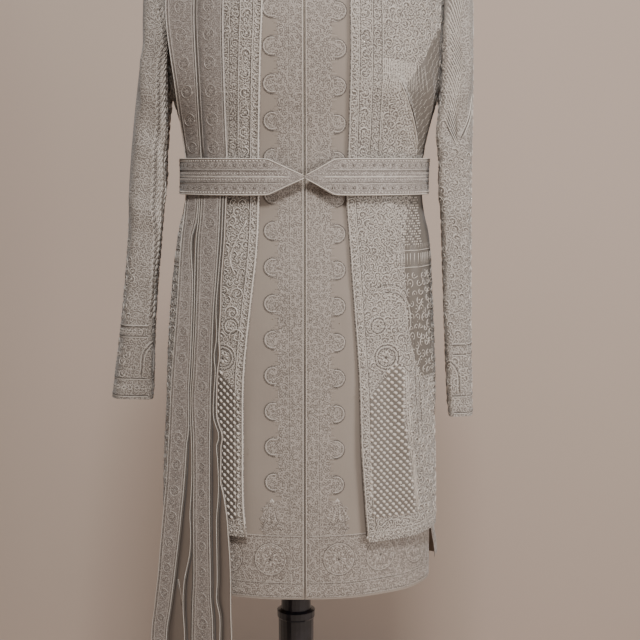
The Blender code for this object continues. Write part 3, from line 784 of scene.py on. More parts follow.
def polar(reach, way):
    """A place at a reach from the middle, in the direction way."""
    return reach * cos(way), reach * sin(way)


PETAL_RIM = np.array(
    [[0.5, 0.0], [0.16, 0.5], [-0.28, 0.42], [-0.5, 0.0], [-0.28, -0.42], [0.16, -0.5]]
)
KNOT_RIM = np.array([polar(0.5, k * pi / 3) for k in range(6)])
MIDDLE = (0.0, 0.0)

# The stitching's foot is a little inside the cloth
SUNK = -0.0002

# Each needlework's threads, in this order. Deep thread beside folds, gaps and creases, and in
# turned-away patches, is painted shade.
PALE = 0
DEEP = 1
SEQUIN = 2


class Needlework:
    """Raised stitching in pale and deep thread, the deep thread in places painted shade:
    ridges along lines, petals, knots and sequins, drawn flat. Places are in the drawing's unit, stitches
    always in millimetres."""

    def __init__(self, unit=1.0):
        self.unit = unit
        self.ridges = []
        self.petals = []

    def ridge(self, path, width, rise, shade=PALE):
        """A corded line along a path of (across, height) points."""
        self.ridges.append((np.asarray(path, float) * self.unit, width * MM, rise * MM, shade))

    def ring(self, centre, radius, width, rise, shade=PALE, squash=1.0):
        """A corded line round a circle."""
        steps = round(10 + 700 * radius * self.unit)
        self.ridge(arc(centre, radius, 0.0, 360.0, steps, squash), width, rise, shade)

    def petal(self, at, length, width, turn, rise, shade=PALE):
        """A pointed padded petal; turn is where its tip points, in radians."""
        spot = at[0] * self.unit, at[1] * self.unit
        self.petals.append((*spot, length * MM, width * MM, turn, rise * MM, shade))

    def knot(self, at, size, rise, shade=PALE):
        """A small round knot or a sequin."""
        self.petal(at, -size, size, 0.0, rise, shade)

    def lay(self, motif, at, turn=0.0, size=1.0, side=1.0):
        """Copies a motif on to this work, turned, sized and, with side -1, mirrored."""
        at = np.array(at) * self.unit
        c = cos(turn)
        s = sin(turn)
        spin = size * np.array([[side * c, side * s], [-s, c]])
        for path, width, rise, shade in motif.ridges:
            self.ridges.append((path @ spin + at, width * size, rise, shade))
        for a, h, length, width, way, rise, shade in motif.petals:
            spot = np.array([a, h]) @ spin + at
            point = np.array([cos(way), sin(way)]) @ spin
            way = atan2(point[1], point[0])
            self.petals.append((spot[0], spot[1], length * size, width * size, way, rise, shade))

    def make(self, name, place, threads, slot):
        """One mesh of all the stitching, laid on the cloth by its place rule."""
        flats = []
        lifts = []
        faces = []
        shades = []
        count = 0
        for path, width, rise, shade in self.ridges:
            way = np.gradient(path, axis=0)
            way /= np.maximum(np.linalg.norm(way, axis=1, keepdims=True), 1e-12)
            left = np.stack([-way[:, 1], way[:, 0]], axis=1) * width / 2
            taper = np.ones(len(path))
            if np.linalg.norm(path[0] - path[-1]) > 1e-7:
                taper[[0, -1]] = 0.45
            left *= taper[:, None]
            flats.append(np.stack([path - left, path, path + left], axis=1).reshape(-1, 2))
            low = np.full(len(path), SUNK)
            lifts.append(np.stack([low, rise * taper, low], axis=1).ravel())
            start = count + 3 * np.arange(len(path) - 1)[:, None]
            for a, b in ((0, 1), (1, 2), (2, 0)):
                faces += (start + np.array([a, 3 + a, 3 + b, b])).tolist()
            last = count + 3 * (len(path) - 1)
            faces += [[count, count + 1, count + 2], [last + 2, last + 1, last]]
            shades += [shade] * (3 * len(path) - 1)
            count += 3 * len(path)
        for a, h, length, width, turn, rise, shade in self.petals:
            rim = (KNOT_RIM if length < 0 else PETAL_RIM) * (abs(length), width)
            spin = np.array([[cos(turn), sin(turn)], [-sin(turn), cos(turn)]])
            flats.append(np.concatenate([rim @ spin, [MIDDLE]]) + (a, h))
            lifts.append([SUNK] * 6 + [rise])
            faces += [[count + n, count + (n + 1) % 6, count + 6] for n in range(6)]
            faces.append([count + n for n in range(5, -1, -1)])
            shades += [shade] * 7
            count += 7
        flat = np.concatenate(flats)
        points = place(flat[:, 0], flat[:, 1], np.concatenate(lifts))
        made = new_object(name, points, faces, threads)
        made.data.polygons.foreach_set("material_index", shades)
        return made


def arc(centre, radius, start, end, steps, squash=1.0, inner=None):
    """Points round part of a circle, of an ellipse squashed in height, or of a spiral that
    runs from its radius to an inner one."""
    turn = np.radians(np.linspace(start, end, steps + 1))
    reach = np.linspace(radius, inner or radius, steps + 1)
    x = centre[0] + reach * np.cos(turn)
    return np.stack([x, centre[1] + reach * squash * np.sin(turn)], axis=1)


def smooth_path(points, steps):
    """A smooth curve through points."""
    points = np.asarray(points, float)
    table = np.column_stack([np.arange(len(points)), points])
    fine = np.linspace(0, len(points) - 1, (len(points) - 1) * steps + 1)
    return np.stack([look_up(table, fine, 1), look_up(table, fine, 2)], axis=1)


def mirrored(path, side):
    """A path on the wearer's left, or with side -1 on the right."""
    return np.asarray(path, float) * np.array([side, 1.0])


def flower(radius, petals, rise=0.7):
    """A floret of padded petals round a dark knot."""
    work = Needlework(MM)
    for k in range(petals):
        way = 2 * pi * k / petals + pi / 2
        work.petal(polar(0.62 * radius, way), 0.76 * radius, 2.4 * radius / petals, way, rise)
    work.knot(MIDDLE, 0.62 * radius, rise * 0.9, DEEP)
    return work


def leaf_spray(length, leaves, spread):
    """A stem that rises from the middle with pairs of leaves."""
    work = Needlework(MM)
    stem = [(0, 0), (0.06 * length, length / 2), (0, length)]
    work.ridge(smooth_path(stem, 3), 0.9, 0.6, DEEP)
    for k in range(leaves):
        up = length * (0.2 + 0.7 * k / leaves)
        size = spread * (1.0 - 0.45 * k / leaves)
        for side in (-1, 1):
            way = pi / 2 - side * radians(48)
            work.petal((side * size * 0.42, up + size * 0.38), size, size * 0.42, way, 0.6)
    work.petal((0.0, length + spread * 0.35), spread * 0.9, spread * 0.42, pi / 2, 0.6)
    return work


def hook():
    """The comma of the border beside the open edge: a curled stroke and a knot."""
    work = Needlework(MM)
    work.ridge(arc(MIDDLE, 4.2, -110, 150, 9, inner=1.7), 1.6, 0.8)
    work.knot((-0.4, -0.2), 2.4, 0.6, DEEP)
    work.petal((3.6, 4.6), 3.4, 1.5, radians(70), 0.6)
    work.petal((-3.4, 5.6), 3.0, 1.6, radians(110), 0.6, DEEP)
    return work


def curl(start):
    """One of the curls that fill the all-over ground: a cord and, inside it, a second one in deep thread
    that is painted shade.
    """
    work = Needlework(MM)
    work.ridge(arc(MIDDLE, 5.0, start, start + 230, 8), 1.5, 0.9)
    work.ridge(arc(MIDDLE, 3.4, start + 10, start + 215, 6), 1.2, 0.4, DEEP)
    work.knot(MIDDLE, 3.0, 1.0)
    return work


def rosette(radius, rings, petals):
    """Concentric corded rings, pale and deep by turns, round a flower."""
    work = Needlework(MM)
    pitch = 2.2
    for k in range(rings):
        work.ring(MIDDLE, radius - k * pitch, 1.3, 0.7, k % 2)
    work.lay(flower(radius - rings * pitch - 0.4, petals), MIDDLE)
    return work


def medallion(radius):
    """The hem's round medallion: two rings, a ring of leaves and an eight-petalled flower."""
    work = Needlework(MM)
    work.ring(MIDDLE, radius, 1.8, 0.6, DEEP)
    work.ring(MIDDLE, radius - 1.8, 1.4, 0.8)
    work.ring(MIDDLE, radius * 0.60, 1.6, 0.4, DEEP)
    leaves = 18
    for k in range(leaves):
        way = 2 * pi * k / leaves
        reach = radius * 0.77
        lean = 0.55 if k % 2 else -0.55
        work.petal(polar(reach, way), 0.27 * radius, 0.14 * radius, way + lean, 0.9)
        work.petal(polar(reach * 0.98, way + 0.17), 0.20 * radius, 0.08 * radius, way, 0.5, DEEP)
    work.lay(flower(radius * 0.54, 8, 0.9), MIDDLE)
    for k in range(8):
        way = 2 * pi * (k + 0.5) / 8 + pi / 2
        work.knot(polar(0.56 * radius, way), 2.2, 0.8)
    return work


SCALLOP_ARCS = (
    # radius, half_turn, steps, width, rise, shade; radii and widths in millimetres
    # The deep arcs are painted shade along the outer and inner edges of the padded C
    (12.9, 112, 16, 2.1, 0.7, DEEP),
    (11.0, 118, 14, 2.0, 1.2, PALE),
    (8.6, 125, 12, 1.1, 0.4, DEEP),
    (6.6, 135, 10, 1.2, 0.6, PALE),
)


def scallop(reach):
    """One scallop of the front: a padded C, arcs inside it and stitches towards the line.

    Its outline stands reach away from the double line, which is at across 0.
    """
    work = Needlework(MM)
    centre = (reach - 11.5, 0.0)
    for radius, turn, steps, width, rise, shade in SCALLOP_ARCS:
        work.ridge(arc(centre, radius, -turn, turn, steps), width, rise, shade)
    work.lay(flower(4.4, 6), centre)
    for k, length in enumerate((9.0, 13.0, 11.5, 14.5, 10.0, 13.0, 8.5)):
        up = (k - 3) * 2.6
        start = reach - 23.5 + (k % 2) * 1.2
        line = [(start - length * 0.5, up), (start + length * 0.3, up)]
        work.ridge(line, 1.2, 0.45, DEEP if k % 3 == 1 else PALE)
    for side in (-1, 1):
        for k, length in enumerate((15.0, 11.0, 7.0)):
            up = side * (14.4 + 2.7 * k)
            start = reach - (9.0 + 2.8 * k)
            work.ridge([(start - length, up), (start, up)], 1.2, 0.5, PALE if k % 2 else DEEP)
        work.petal((reach - 22.0, side * 12.0), 6.0, 2.6, side * 0.9, 0.7)
        work.petal((reach - 26.0, side * 15.5), 5.2, 2.4, side * 1.2, 0.7)
    work.lay(leaf_spray(8.0, 2, 4.0), (4.0, 19.0), -0.4)
    work.lay(leaf_spray(8.0, 2, 4.0), (4.0, -19.0), pi + 0.4)
    work.knot((8.5, 24.6), 3.0, 0.8)
    return work


def border_unit():
    """The repeat of the border beside the slit: a floret, its stem, leaves and dashes."""
    work = Needlework(MM)
    work.lay(flower(4.0, 6), MIDDLE)
    stem = np.array([(-6, -9), (3.5, -7), (0.5, -4.4)])
    for side in (1, -1):
        work.ridge(smooth_path(side * stem, 4), 1.1, 0.5)
    for side in (-1, 1):
        work.petal((side * 6.4, -side * 3.4), 4.4, 2.0, side * 0.7, 0.7)
        work.petal((side * 6.6, side * 1.4), 3.6, 1.8, -side * 1.1, 0.6, DEEP)
        work.petal((-side * 3.0, side * 8.4), 3.8, 1.9, side * 2.2, 0.6, DEEP)
        work.knot((side * 6.8, side * 6.8), 2.4, 0.7)
    return work


# Finishes

# The colour mixer's sockets, by number, and a full turn of the banded pattern
MIX_SHARE = 0
MIX_FIRST = 6
MIX_SECOND = 7
MIX_COLOUR = 2
WAVE_TURN = 6.283


def linear(code):
    """An sRGB hex colour as linear red, green, blue and alpha."""
    parts = [int(code[k:k + 2], 16) / 255 for k in (1, 3, 5)]
    return tuple(v / 12.92 if v <= 0.04045 else ((v + 0.055) / 1.055) ** 2.4 for v in parts) + (1.0,)


def wire(node, inputs):
    """Sets a node's inputs, or links them to another node's output."""
    for key, value in inputs.items():
        if isinstance(value, bpy.types.Node):
            value = value.outputs[0]
        if isinstance(value, bpy.types.NodeSocket):
            node.id_data.links.new(value, node.inputs[key])
        else:
            node.inputs[key].default_value = value


def add(tree, kind, inputs, **settings):
    """A node of a kind with its settings, its inputs set or linked."""
    node = tree.nodes.new("ShaderNode" + kind)
    for name, value in settings.items():
        setattr(node, name, value)
    wire(node, inputs)
    return node


def new_material(name, on_cloth=False):
    """A material, its node tree, its Principled shader and the coordinates it reads."""
    material = bpy.data.materials.new(name)
    material.use_nodes = True
    tree = material.node_tree
    if on_cloth:
        spot = add(tree, "UVMap", {}, uv_map="cloth")
    else:
        spot = add(tree, "TexCoord", {}).outputs["Object"]
    return material, tree, tree.nodes["Principled BSDF"], spot


def satin(name, light, dark):
    """Silk satin, woven: long floats give a soft sheen and faint upright streaks.

    The yarns are 0.2 mm apart; they are drawn 1.1 mm apart so that they show.
    """
    material, tree, shader, cloth = new_material(name, on_cloth=True)
    upright = add(tree, "Mapping", {"Vector": cloth, "Scale": (1.0, 0.06, 1.0)})
    level = add(tree, "Mapping", {"Vector": cloth, "Scale": (0.08, 1.0, 1.0)})
    cloud = add(tree, "TexNoise", {"Vector": cloth, "Scale": 9.0, "Detail": 3.0})
    warp = add(tree, "TexNoise", {"Vector": upright, "Scale": 900.0, "Detail": 2.0})
    weft = add(tree, "TexNoise", {"Vector": level, "Scale": 700.0, "Detail": 1.0})
    clouded = add(tree, "Math", {0: cloud, 1: 0.7}, operation="MULTIPLY")
    tone = add(tree, "Math", {0: warp, 1: 0.3, 2: clouded}, operation="MULTIPLY_ADD")
    between = {MIX_SHARE: tone, MIX_FIRST: linear(light), MIX_SECOND: linear(dark)}
    colour = add(tree, "Mix", between, data_type="RGBA").outputs[MIX_COLOUR]
    yarns = add(tree, "Math", {0: weft, 1: 0.5, 2: warp}, operation="MULTIPLY_ADD")
    bump = add(tree, "Bump", {"Height": yarns, "Strength": 0.35, "Distance": 0.12 * MM})
    wire(shader, {
        "Base Color": colour, "Roughness": 0.42, "Specular IOR Level": 0.45,
        "Sheen Weight": 0.25, "Sheen Roughness": 0.35, "Normal": bump,
    })
    return material


def embroidered(name, thread, ground, ring_cell, stitch, depth):
    """Silk covered by hand embroidery: rings of couched thread, packed with seed stitches,
    over a darker ground that shows in the gaps. The colour darkens where the pattern is low,
    as painted shade between the raised threads.

    The rings' cells are ring_cell metres across, the seed stitches are one stitch long.
    Both are drawn coarser than the real threads, so that they show.
    """
    material, tree, shader, cloth = new_material(name, on_cloth=True)
    flat = {"voronoi_dimensions": "2D"}
    scaled = {"operation": "MULTIPLY_ADD"}
    sway = add(tree, "TexNoise", {"Vector": cloth, "Scale": 1 / (9 * MM), "Detail": 2.0})
    bent = add(tree, "VectorMath", {0: sway.outputs[1], 1: (6 * MM, 6 * MM, 0.0), 2: cloth}, **scaled)
    rings = add(tree, "TexVoronoi", {"Vector": bent, "Scale": 1 / ring_cell}, **flat)
    turns = add(tree, "Math", {0: rings, 1: ring_cell / (3.2 * MM) * 2 * pi}, operation="MULTIPLY")
    wave = add(tree, "Math", {0: turns}, operation="COSINE")
    cords = add(tree, "Math", {0: wave, 1: 0.28, 2: 0.30}, **scaled)
    long = add(tree, "Mapping", {"Vector": bent, "Scale": (1.0, 0.6, 1.0)})
    cells = {"Vector": long, "Scale": 1 / stitch}
    seeds = add(tree, "TexVoronoi", cells, feature="DISTANCE_TO_EDGE", **flat)
    padded = add(tree, "MapRange", {"Value": seeds, "From Min": 0.02, "From Max": 0.30, "To Max": 0.45})
    raised = add(tree, "Math", {0: cords, 1: padded}, operation="ADD")
    patches = add(tree, "TexNoise", {"Vector": cloth, "Scale": 1 / (45 * MM), "Detail": 2.0})
    uneven = add(tree, "Math", {0: patches, 1: 0.4, 2: -0.2}, **scaled)
    level = add(tree, "MapRange", {"Value": raised, "From Min": 0.18, "From Max": 0.80})
    shade = add(tree, "Math", {0: level, 1: uneven}, operation="ADD", use_clamp=True)
    # Low places take the ground's colour: partly the silk's own ground, partly painted shade in the gaps
    between = {MIX_SHARE: shade, MIX_FIRST: linear(ground), MIX_SECOND: linear(thread)}
    colour = add(tree, "Mix", between, data_type="RGBA").outputs[MIX_COLOUR]
    gloss = add(tree, "MapRange", {"Value": raised, "From Min": 0.2, "To Min": 0.62, "To Max": 0.42})
    bump = add(tree, "Bump", {"Height": raised, "Strength": 1.0, "Distance": depth})
    wire(shader, {
        "Base Color": colour, "Roughness": gloss, "Sheen Weight": 0.3,
        "Sheen Roughness": 0.4, "Normal": bump,
    })
    return material


def silk_thread(name, light, dark, roughness):
    """Silk embroidery thread, couched or satin stitched: it shines along fine strands.

    The strands are 0.15 mm thick; they are drawn 1 mm thick so that they show.
    """
    material, tree, shader, spot = new_material(name)
    strands = add(tree, "TexNoise", {"Vector": spot, "Scale": 1 / (1 * MM), "Detail": 2.0})
    cloud = add(tree, "TexNoise", {"Vector": spot, "Scale": 1 / (20 * MM), "Detail": 1.0})
    clouded = add(tree, "Math", {0: cloud, 1: 0.4}, operation="MULTIPLY")
    tone = add(tree, "Math", {0: strands, 1: 0.6, 2: clouded}, operation="MULTIPLY_ADD")
    between = {MIX_SHARE: tone, MIX_FIRST: linear(light), MIX_SECOND: linear(dark)}
    colour = add(tree, "Mix", between, data_type="RGBA").outputs[MIX_COLOUR]
    bump = add(tree, "Bump", {"Height": strands, "Strength": 0.5, "Distance": 0.15 * MM})
    wire(shader, {
        "Base Color": colour, "Roughness": roughness, "Sheen Weight": 0.3,
        "Sheen Roughness": 0.35, "Normal": bump,
    })
    return material


def woven_linen(name, light, dark):
    """Plain-woven linen stretched over padding: matt, with slubs in a square weave.

    The threads are 0.5 mm apart; they are drawn 1.2 mm apart so that they show.
    """
    material, tree, shader, spot = new_material(name)
    slubs = add(tree, "TexNoise", {"Vector": spot, "Scale": 1 / (4 * MM), "Detail": 3.0})
    weave = {"Vector": spot, "Scale": 1 / (1.2 * MM) / WAVE_TURN, "Distortion": 1.5}
    threads = add(tree, "TexWave", weave, bands_direction="Z")
    softened = add(tree, "Math", {0: slubs, 1: 0.6}, operation="MULTIPLY")
    tone = add(tree, "Math", {0: threads.outputs[1], 1: 0.4, 2: softened}, operation="MULTIPLY_ADD")
    between = {MIX_SHARE: tone, MIX_FIRST: linear(light), MIX_SECOND: linear(dark)}
    colour = add(tree, "Mix", between, data_type="RGBA").outputs[MIX_COLOUR]
    bump = add(tree, "Bump", {"Height": tone, "Strength": 0.5, "Distance": 0.3 * MM})
    wire(shader, {"Base Color": colour, "Roughness": 0.9, "Sheen Weight": 0.15, "Normal": bump})
    return material


def lacquered_wood(name, black, worn):
    """Turned wood, lacquered black: glossy, with faint turning rings and dull dust."""
    material, tree, shader, spot = new_material(name)
    turning = {"Vector": spot, "Scale": 1 / (3.5 * MM) / WAVE_TURN, "Distortion": 0.6}
    rings = add(tree, "TexWave", turning, bands_direction="Z")
    dust = add(tree, "TexNoise", {"Vector": spot, "Scale": 1 / (30 * MM), "Detail": 4.0})
    share = add(tree, "MapRange", {"Value": dust, "From Min": 0.45, "From Max": 0.8})
    between = {MIX_SHARE: share, MIX_FIRST: linear(black), MIX_SECOND: linear(worn)}
    colour = add(tree, "Mix", between, data_type="RGBA").outputs[MIX_COLOUR]
    gloss = add(tree, "MapRange", {"Value": dust, "To Min": 0.22, "To Max": 0.5})
    bump = add(tree, "Bump", {"Height": rings.outputs[1], "Strength": 0.25, "Distance": 0.2 * MM})
    wire(shader, {
        "Base Color": colour, "Roughness": gloss, "Coat Weight": 0.4,
        "Coat Roughness": 0.15, "Normal": bump,
    })
    return material


def stamped_metal(name, tint):
    """Stamped metallised sequins: small bright flat discs with a faint brushed grain."""
    material, tree, shader, spot = new_material(name)
    grain = add(tree, "TexNoise", {"Vector": spot, "Scale": 1 / (0.8 * MM)})
    gloss = add(tree, "MapRange", {"Value": grain, "To Min": 0.12, "To Max": 0.3})
    wire(shader, {"Base Color": linear(tint), "Metallic": 1.0, "Roughness": gloss})
    return material


def matt_paper(name, colour, shade):
    """Matt seamless paper for the floor and the wall behind, faintly uneven."""
    material, tree, shader, spot = new_material(name)
    cloud = add(tree, "TexNoise", {"Vector": spot, "Scale": 1.5, "Detail": 2.0})
    between = {MIX_SHARE: cloud, MIX_FIRST: linear(colour), MIX_SECOND: linear(shade)}
    tone = add(tree, "Mix", between, data_type="RGBA").outputs[MIX_COLOUR]
    wire(shader, {"Base Color": tone, "Roughness": 0.85})
    return material


COAT_SATIN = satin("woven silk satin", "#a4978b", "#93867b")
LINING_SATIN = satin("woven lining satin", "#8d7864", "#7b6856")
# The stole's satin is darker than the coat's: painted shade in the pleats' gaps and tucks
STOLE_SATIN_DARKENED = satin("woven stole satin with painted shade", "#82756a", "#6c5f55")
COVERED_SILK = embroidered("hand-embroidered silk", "#c4b9ad", "#675d55", 0.0095, 0.0028, 0.0008)
SLEEVE_SILK = embroidered("finely embroidered silk", "#b9aea3", "#756b62", 0.0072, 0.0024, 0.0006)
PACKED_SILK = embroidered("packed seed stitch on satin", "#b3a79c", "#72675e", 0.0052, 0.0022, 0.0003)
BORDER_SILK = embroidered("machine-embroidered silk", "#ada299", "#80756d", 0.0044, 0.0020, 0.0003)
COUCHED_CORD = silk_thread("couched silk cord", "#e0d6ca", "#bfb3a7", 0.38)
STITCHED_SILK = silk_thread("satin-stitched silk", "#cdc2b7", "#a99d92", 0.38)
# Close dark silk: the ground behind basket work, and painted shade in the tuck under the arm and down
# the side
GROUND_AND_SHADE_SILK = silk_thread("close dark silk, ground and painted shade", "#7d7369", "#6a6158", 0.55)
# Deep silk thread; where it lies beside folds, gaps and creases, or covers a turned-away patch, it is
# painted shade
DEEP_SILK_AND_SHADE = silk_thread("deep silk thread and painted shade", "#6a6057", "#564d45", 0.55)
ROLLED_SATIN = silk_thread("rolled satin piping", "#e4d9cc", "#cfc3b6", 0.4)
FORM_LINEN = woven_linen("woven linen cover", "#cbbfae", "#b1a593")
BLACK_LACQUER = lacquered_wood("black lacquered wood", "#15141a", "#3a353c")
SEQUIN_METAL = stamped_metal("stamped sequin metal", "#f0e8dc")


# Layout of the embroidery

BORDER_TOP = 1.500
BANDS_TOP = 1.495
FRONT_END = 0.262
SLIT_BAND = 0.0115
DOUBLE_LINE = 0.0214
SCALLOP_PITCH = 0.0495
SCALLOP_FOOT = 0.640
SCALLOP_REACH = 0.0350
SCALLOP_DISC = 0.0137
HEM_BAND_TOP = 0.564
HEM_BAND_FOOT = 0.497
MEDALLION_PITCH = 0.0650
BELT_END = 0.545
POINT_END = 0.070
GROUND_LIFT = 0.0003
LOW_LIFT = 0.00012


def upright(work, across, low, high, width, rise, shade=PALE, away=None):
    """A corded line up the cloth: at one place across, or away from an edge's rule."""
    z = even(low, high, 0.02)
    a = across + 0.0 * z if away is None else across(z, away)
    work.ridge(np.stack([a, z], axis=1), width, rise, shade)


def level_line(work, height, low, high, width, rise, shade=PALE, lift_at=None, step=0.008):
    """A corded line round the cloth, raised with its hem by a rule of across."""
    a = even(low, high, step)
    z = height + (lift_at(a) if lift_at else 0.0 * a)
    work.ridge(np.stack([a, z], axis=1), width, rise, shade)


def scattered(low_a, high_a, low_z, high_z, pitch, seed):
    """Places on an uneven grid, each with a pick for its shape, the same ones each time."""
    draw = np.random.default_rng(seed)
    places = []
    for row, z in enumerate(even(low_z, high_z, pitch * 0.87)):
        for a in even(low_a, high_a, pitch):
            shift = pitch / 2 * (row % 2)
            jitter = draw.uniform(-0.22, 0.22, 2) * pitch
            places.append((a + shift + jitter[0], z + jitter[1], int(draw.integers(0, 1000))))
    return places


def inside(polygon, a, z):
    """Whether a place is inside a polygon."""
    found = False
    for (x0, z0), (x1, z1) in zip(polygon, polygon[1:] + polygon[:1]):
        if (z0 > z) != (z1 > z) and a < x0 + (z - z0) / (z1 - z0) * (x1 - x0):
            found = not found
    return found


def lay_curl(work, at, pick, size=0.85, side=1.0):
    """One of the curls, turned and sized by its pick."""
    work.lay(CURLS[pick % 3], at, pick * 0.37, size + 0.3 * (pick % 7) / 7, side)


def packed_patch(name, place, a, z, finish, lift=GROUND_LIFT):
    """A closely stitched patch of the cloth, from grids of its places."""
    top, foot = (place(a.ravel(), z.ravel(), up).reshape(a.shape + (3,)) for up in (lift, SUNK))
    patch = wall(name, top, foot, np.stack([a, z], axis=-1), [finish])
    return patch


def patch_between(name, place, z, near, far, columns, finish, lift=GROUND_LIFT):
    """A closely stitched patch between two lines up the cloth, given at heights."""
    share = np.linspace(0.0, 1.0, columns)[None, :]
    a = near[:, None] + (far - near)[:, None] * share
    return packed_patch(name, place, a, z[:, None] + 0.0 * a, finish, lift)


def scalloped_edge(z, shift):
    """How far out the close stitching of a front reaches at a height."""
    middle = (z - SCALLOP_FOOT - shift + SCALLOP_PITCH / 2) % SCALLOP_PITCH - SCALLOP_PITCH / 2
    between = 0.034 - 0.004 * np.cos(2 * pi * middle / SCALLOP_PITCH)
    chord = np.sqrt(np.maximum(0.0, SCALLOP_DISC**2 - middle**2))
    disc = DOUBLE_LINE + SCALLOP_REACH - 0.0115 + chord
    reach = np.where(np.abs(middle) < SCALLOP_DISC, disc, between)
    lobed = 0.063 + 0.0035 * np.cos(2 * pi * z / 0.014) - 0.35 * np.maximum(0.0, z - 0.595)
    return np.where(z > SCALLOP_FOOT + shift - 0.018, reach, np.where(z > 0.612, 0.034, lobed))


def scallop_shift(side):
    """How far a front's scallops stand above the right front's."""
    return 0.0 if side < 0 else -0.004


def front_patch(name, place, side):
    """The close stitching under a front's border and scallops."""
    z = even(HEM_BAND_TOP + 0.001, BORDER_TOP, 0.0026)
    edge = side * scalloped_edge(z, scallop_shift(side))
    start = side * 0.0024 + 0.0 * z
    return patch_between(name, place, z, start, edge, 8, PACKED_SILK)


def front_stitching(side):
    """An inner front's border by the slit, double line, scallops and floral sprays."""
    work = Needlework()
    foot = HEM_BAND_FOOT - 0.018
    for across, shade in ((-0.0014, PALE), (0.0, DEEP), (0.0014, PALE)):
        upright(work, side * (DOUBLE_LINE + across), foot, BORDER_TOP, 1.0, 0.5, shade)
    # The deep lines at the slit and just beside it are painted shade of the slit's gap
    upright(work, side * 0.0048, foot, BORDER_TOP, 1.0, 0.5, DEEP)
    upright(work, side * 0.0009, INNER_HEM + 0.002, BORDER_TOP, 1.0, 0.4, DEEP)
    for k, z in enumerate(np.arange(0.492, BORDER_TOP - 0.01, 0.0205)):
        work.lay(BORDER_UNIT, (side * (SLIT_BAND + 0.0014), z), side=side if k % 2 else -side)
    for z in np.arange(SCALLOP_FOOT + scallop_shift(side), 1.47, SCALLOP_PITCH):
        work.lay(SCALLOP, (side * DOUBLE_LINE, z), side=side)
    for centre, lean in ((0.0475, 0.0), (0.060, -0.30), (0.035, 0.30)):
        work.lay(BROAD_SPRAY, (side * centre, 0.578), -side * lean, 1.0, side)
    for k in range(4):
        low = 0.5685 + 0.0036 * k
        zigzag = [(side * (0.025 + 0.0044 * j), low + 0.0034 * (j % 2)) for j in range(10)]
        work.ridge(zigzag, 1.2, 0.5, k % 2)
    sprinkle(work, side * 0.026, 0.024, 0.52, 1.48, 16, 41 + side)
    return work


def sprinkle(work, middle, reach, low, high, count, seed):
    """Sequins sewn here and there, the same ones each time."""
    draw = np.random.default_rng(seed)
    for a, z in zip(draw.uniform(-reach, reach, count), draw.uniform(low, high, count)):
        work.knot((middle + a, z), 1.9, 1.1, SEQUIN)


HEM_LINES = (
    # height, width in millimetres, shade
    (HEM_BAND_TOP, 1.2, PALE),
    (HEM_BAND_TOP - 0.0016, 1.2, DEEP),
    (HEM_BAND_TOP - 0.0048, 1.1, PALE),
    (HEM_BAND_FOOT, 1.2, PALE),
    (HEM_BAND_FOOT - 0.0016, 1.2, DEEP),
    (HEM_BAND_FOOT - 0.0034, 1.0, PALE),
    (INNER_HEM + 0.0050, 1.2, DEEP),
    (INNER_HEM + 0.0032, 1.2, PALE),
)


def hem_stitching(low_a, high_a, lift_at, lined):
    """The band round the hem: double lines, medallions with sprigs between, small leaves."""
    work = Needlework()
    for height, width, shade in HEM_LINES:
        level_line(work, height, low_a, high_a, width, 0.6, shade, lift_at)
    centre = (HEM_BAND_TOP + HEM_BAND_FOOT) / 2 - 0.0006
    spots = np.arange(lined, high_a, MEDALLION_PITCH)
    for a in spots[spots > low_a]:
        work.lay(MEDALLION, (a, centre + lift_at(a)))
        for up, turn in ((1, pi), (-1, 0.0)):
            at = (a + MEDALLION_PITCH / 2, centre + up * 0.026 + lift_at(a))
            if at[0] < high_a:
                work.lay(SMALL_SPRAY, at, turn, 1.2)
    for k, a in enumerate(np.arange(low_a + 0.006, high_a - 0.004, 0.0105)):
        z = (HEM_BAND_FOOT + INNER_HEM) / 2 + lift_at(a)
        if k % 2:
            work.lay(FLORET, (a, z + 0.0004), size=1.1)
        else:
            work.petal((a - 0.001, z + 0.0032), 7.0, 3.2, pi / 2 + 0.5, 0.8)
            work.petal((a + 0.001, z - 0.0040), 5.0, 2.6, pi / 2 - 0.7, 0.8)
    sprinkle(work, (low_a + high_a) / 2, (high_a - low_a) * 0.45, 0.490, 0.556, 5, 7)
    return work


def edge_at(side):
    """The open edge's place on the cloth as a rule of height."""
    z = np.linspace(0.55, 1.50, 96)
    x = look_up(OUTER_EDGE, z, 1 if side > 0 else 2)
    table = np.column_stack([z, AROUND.across_at(angle_at_x(side * x, z, OUTER_OUT), z)])

    def rule(height, away=0.0):
        return np.interp(height, table[:, 0], table[:, 1]) + side * away

    return rule


BASKET_GROUND = (
    # height, near, far
    (0.589, 0.0945, 0.1650),
    (0.670, 0.0932, 0.1490),
    (0.730, 0.0922, 0.1380),
    (0.757, 0.0920, 0.1375),
    (0.790, 0.1180, 0.1370),
    (0.803, 0.1270, 0.1310),
)
# Painted shade: a dark patch in the tuck below the arm, where the cloth turns under
TUCK_SHADE_GROUND = (
    # height, near, far
    (1.090, 0.1740, 0.2150),
    (1.100, 0.1680, 0.2150),
    (1.132, 0.1550, 0.2150),
    (1.168, 0.1410, 0.2150),
    (1.185, 0.1460, 0.2150),
    (1.210, 0.1660, 0.2150),
    (1.240, 0.1880, 0.2150),
    (1.264, 0.2080, 0.2150),
)
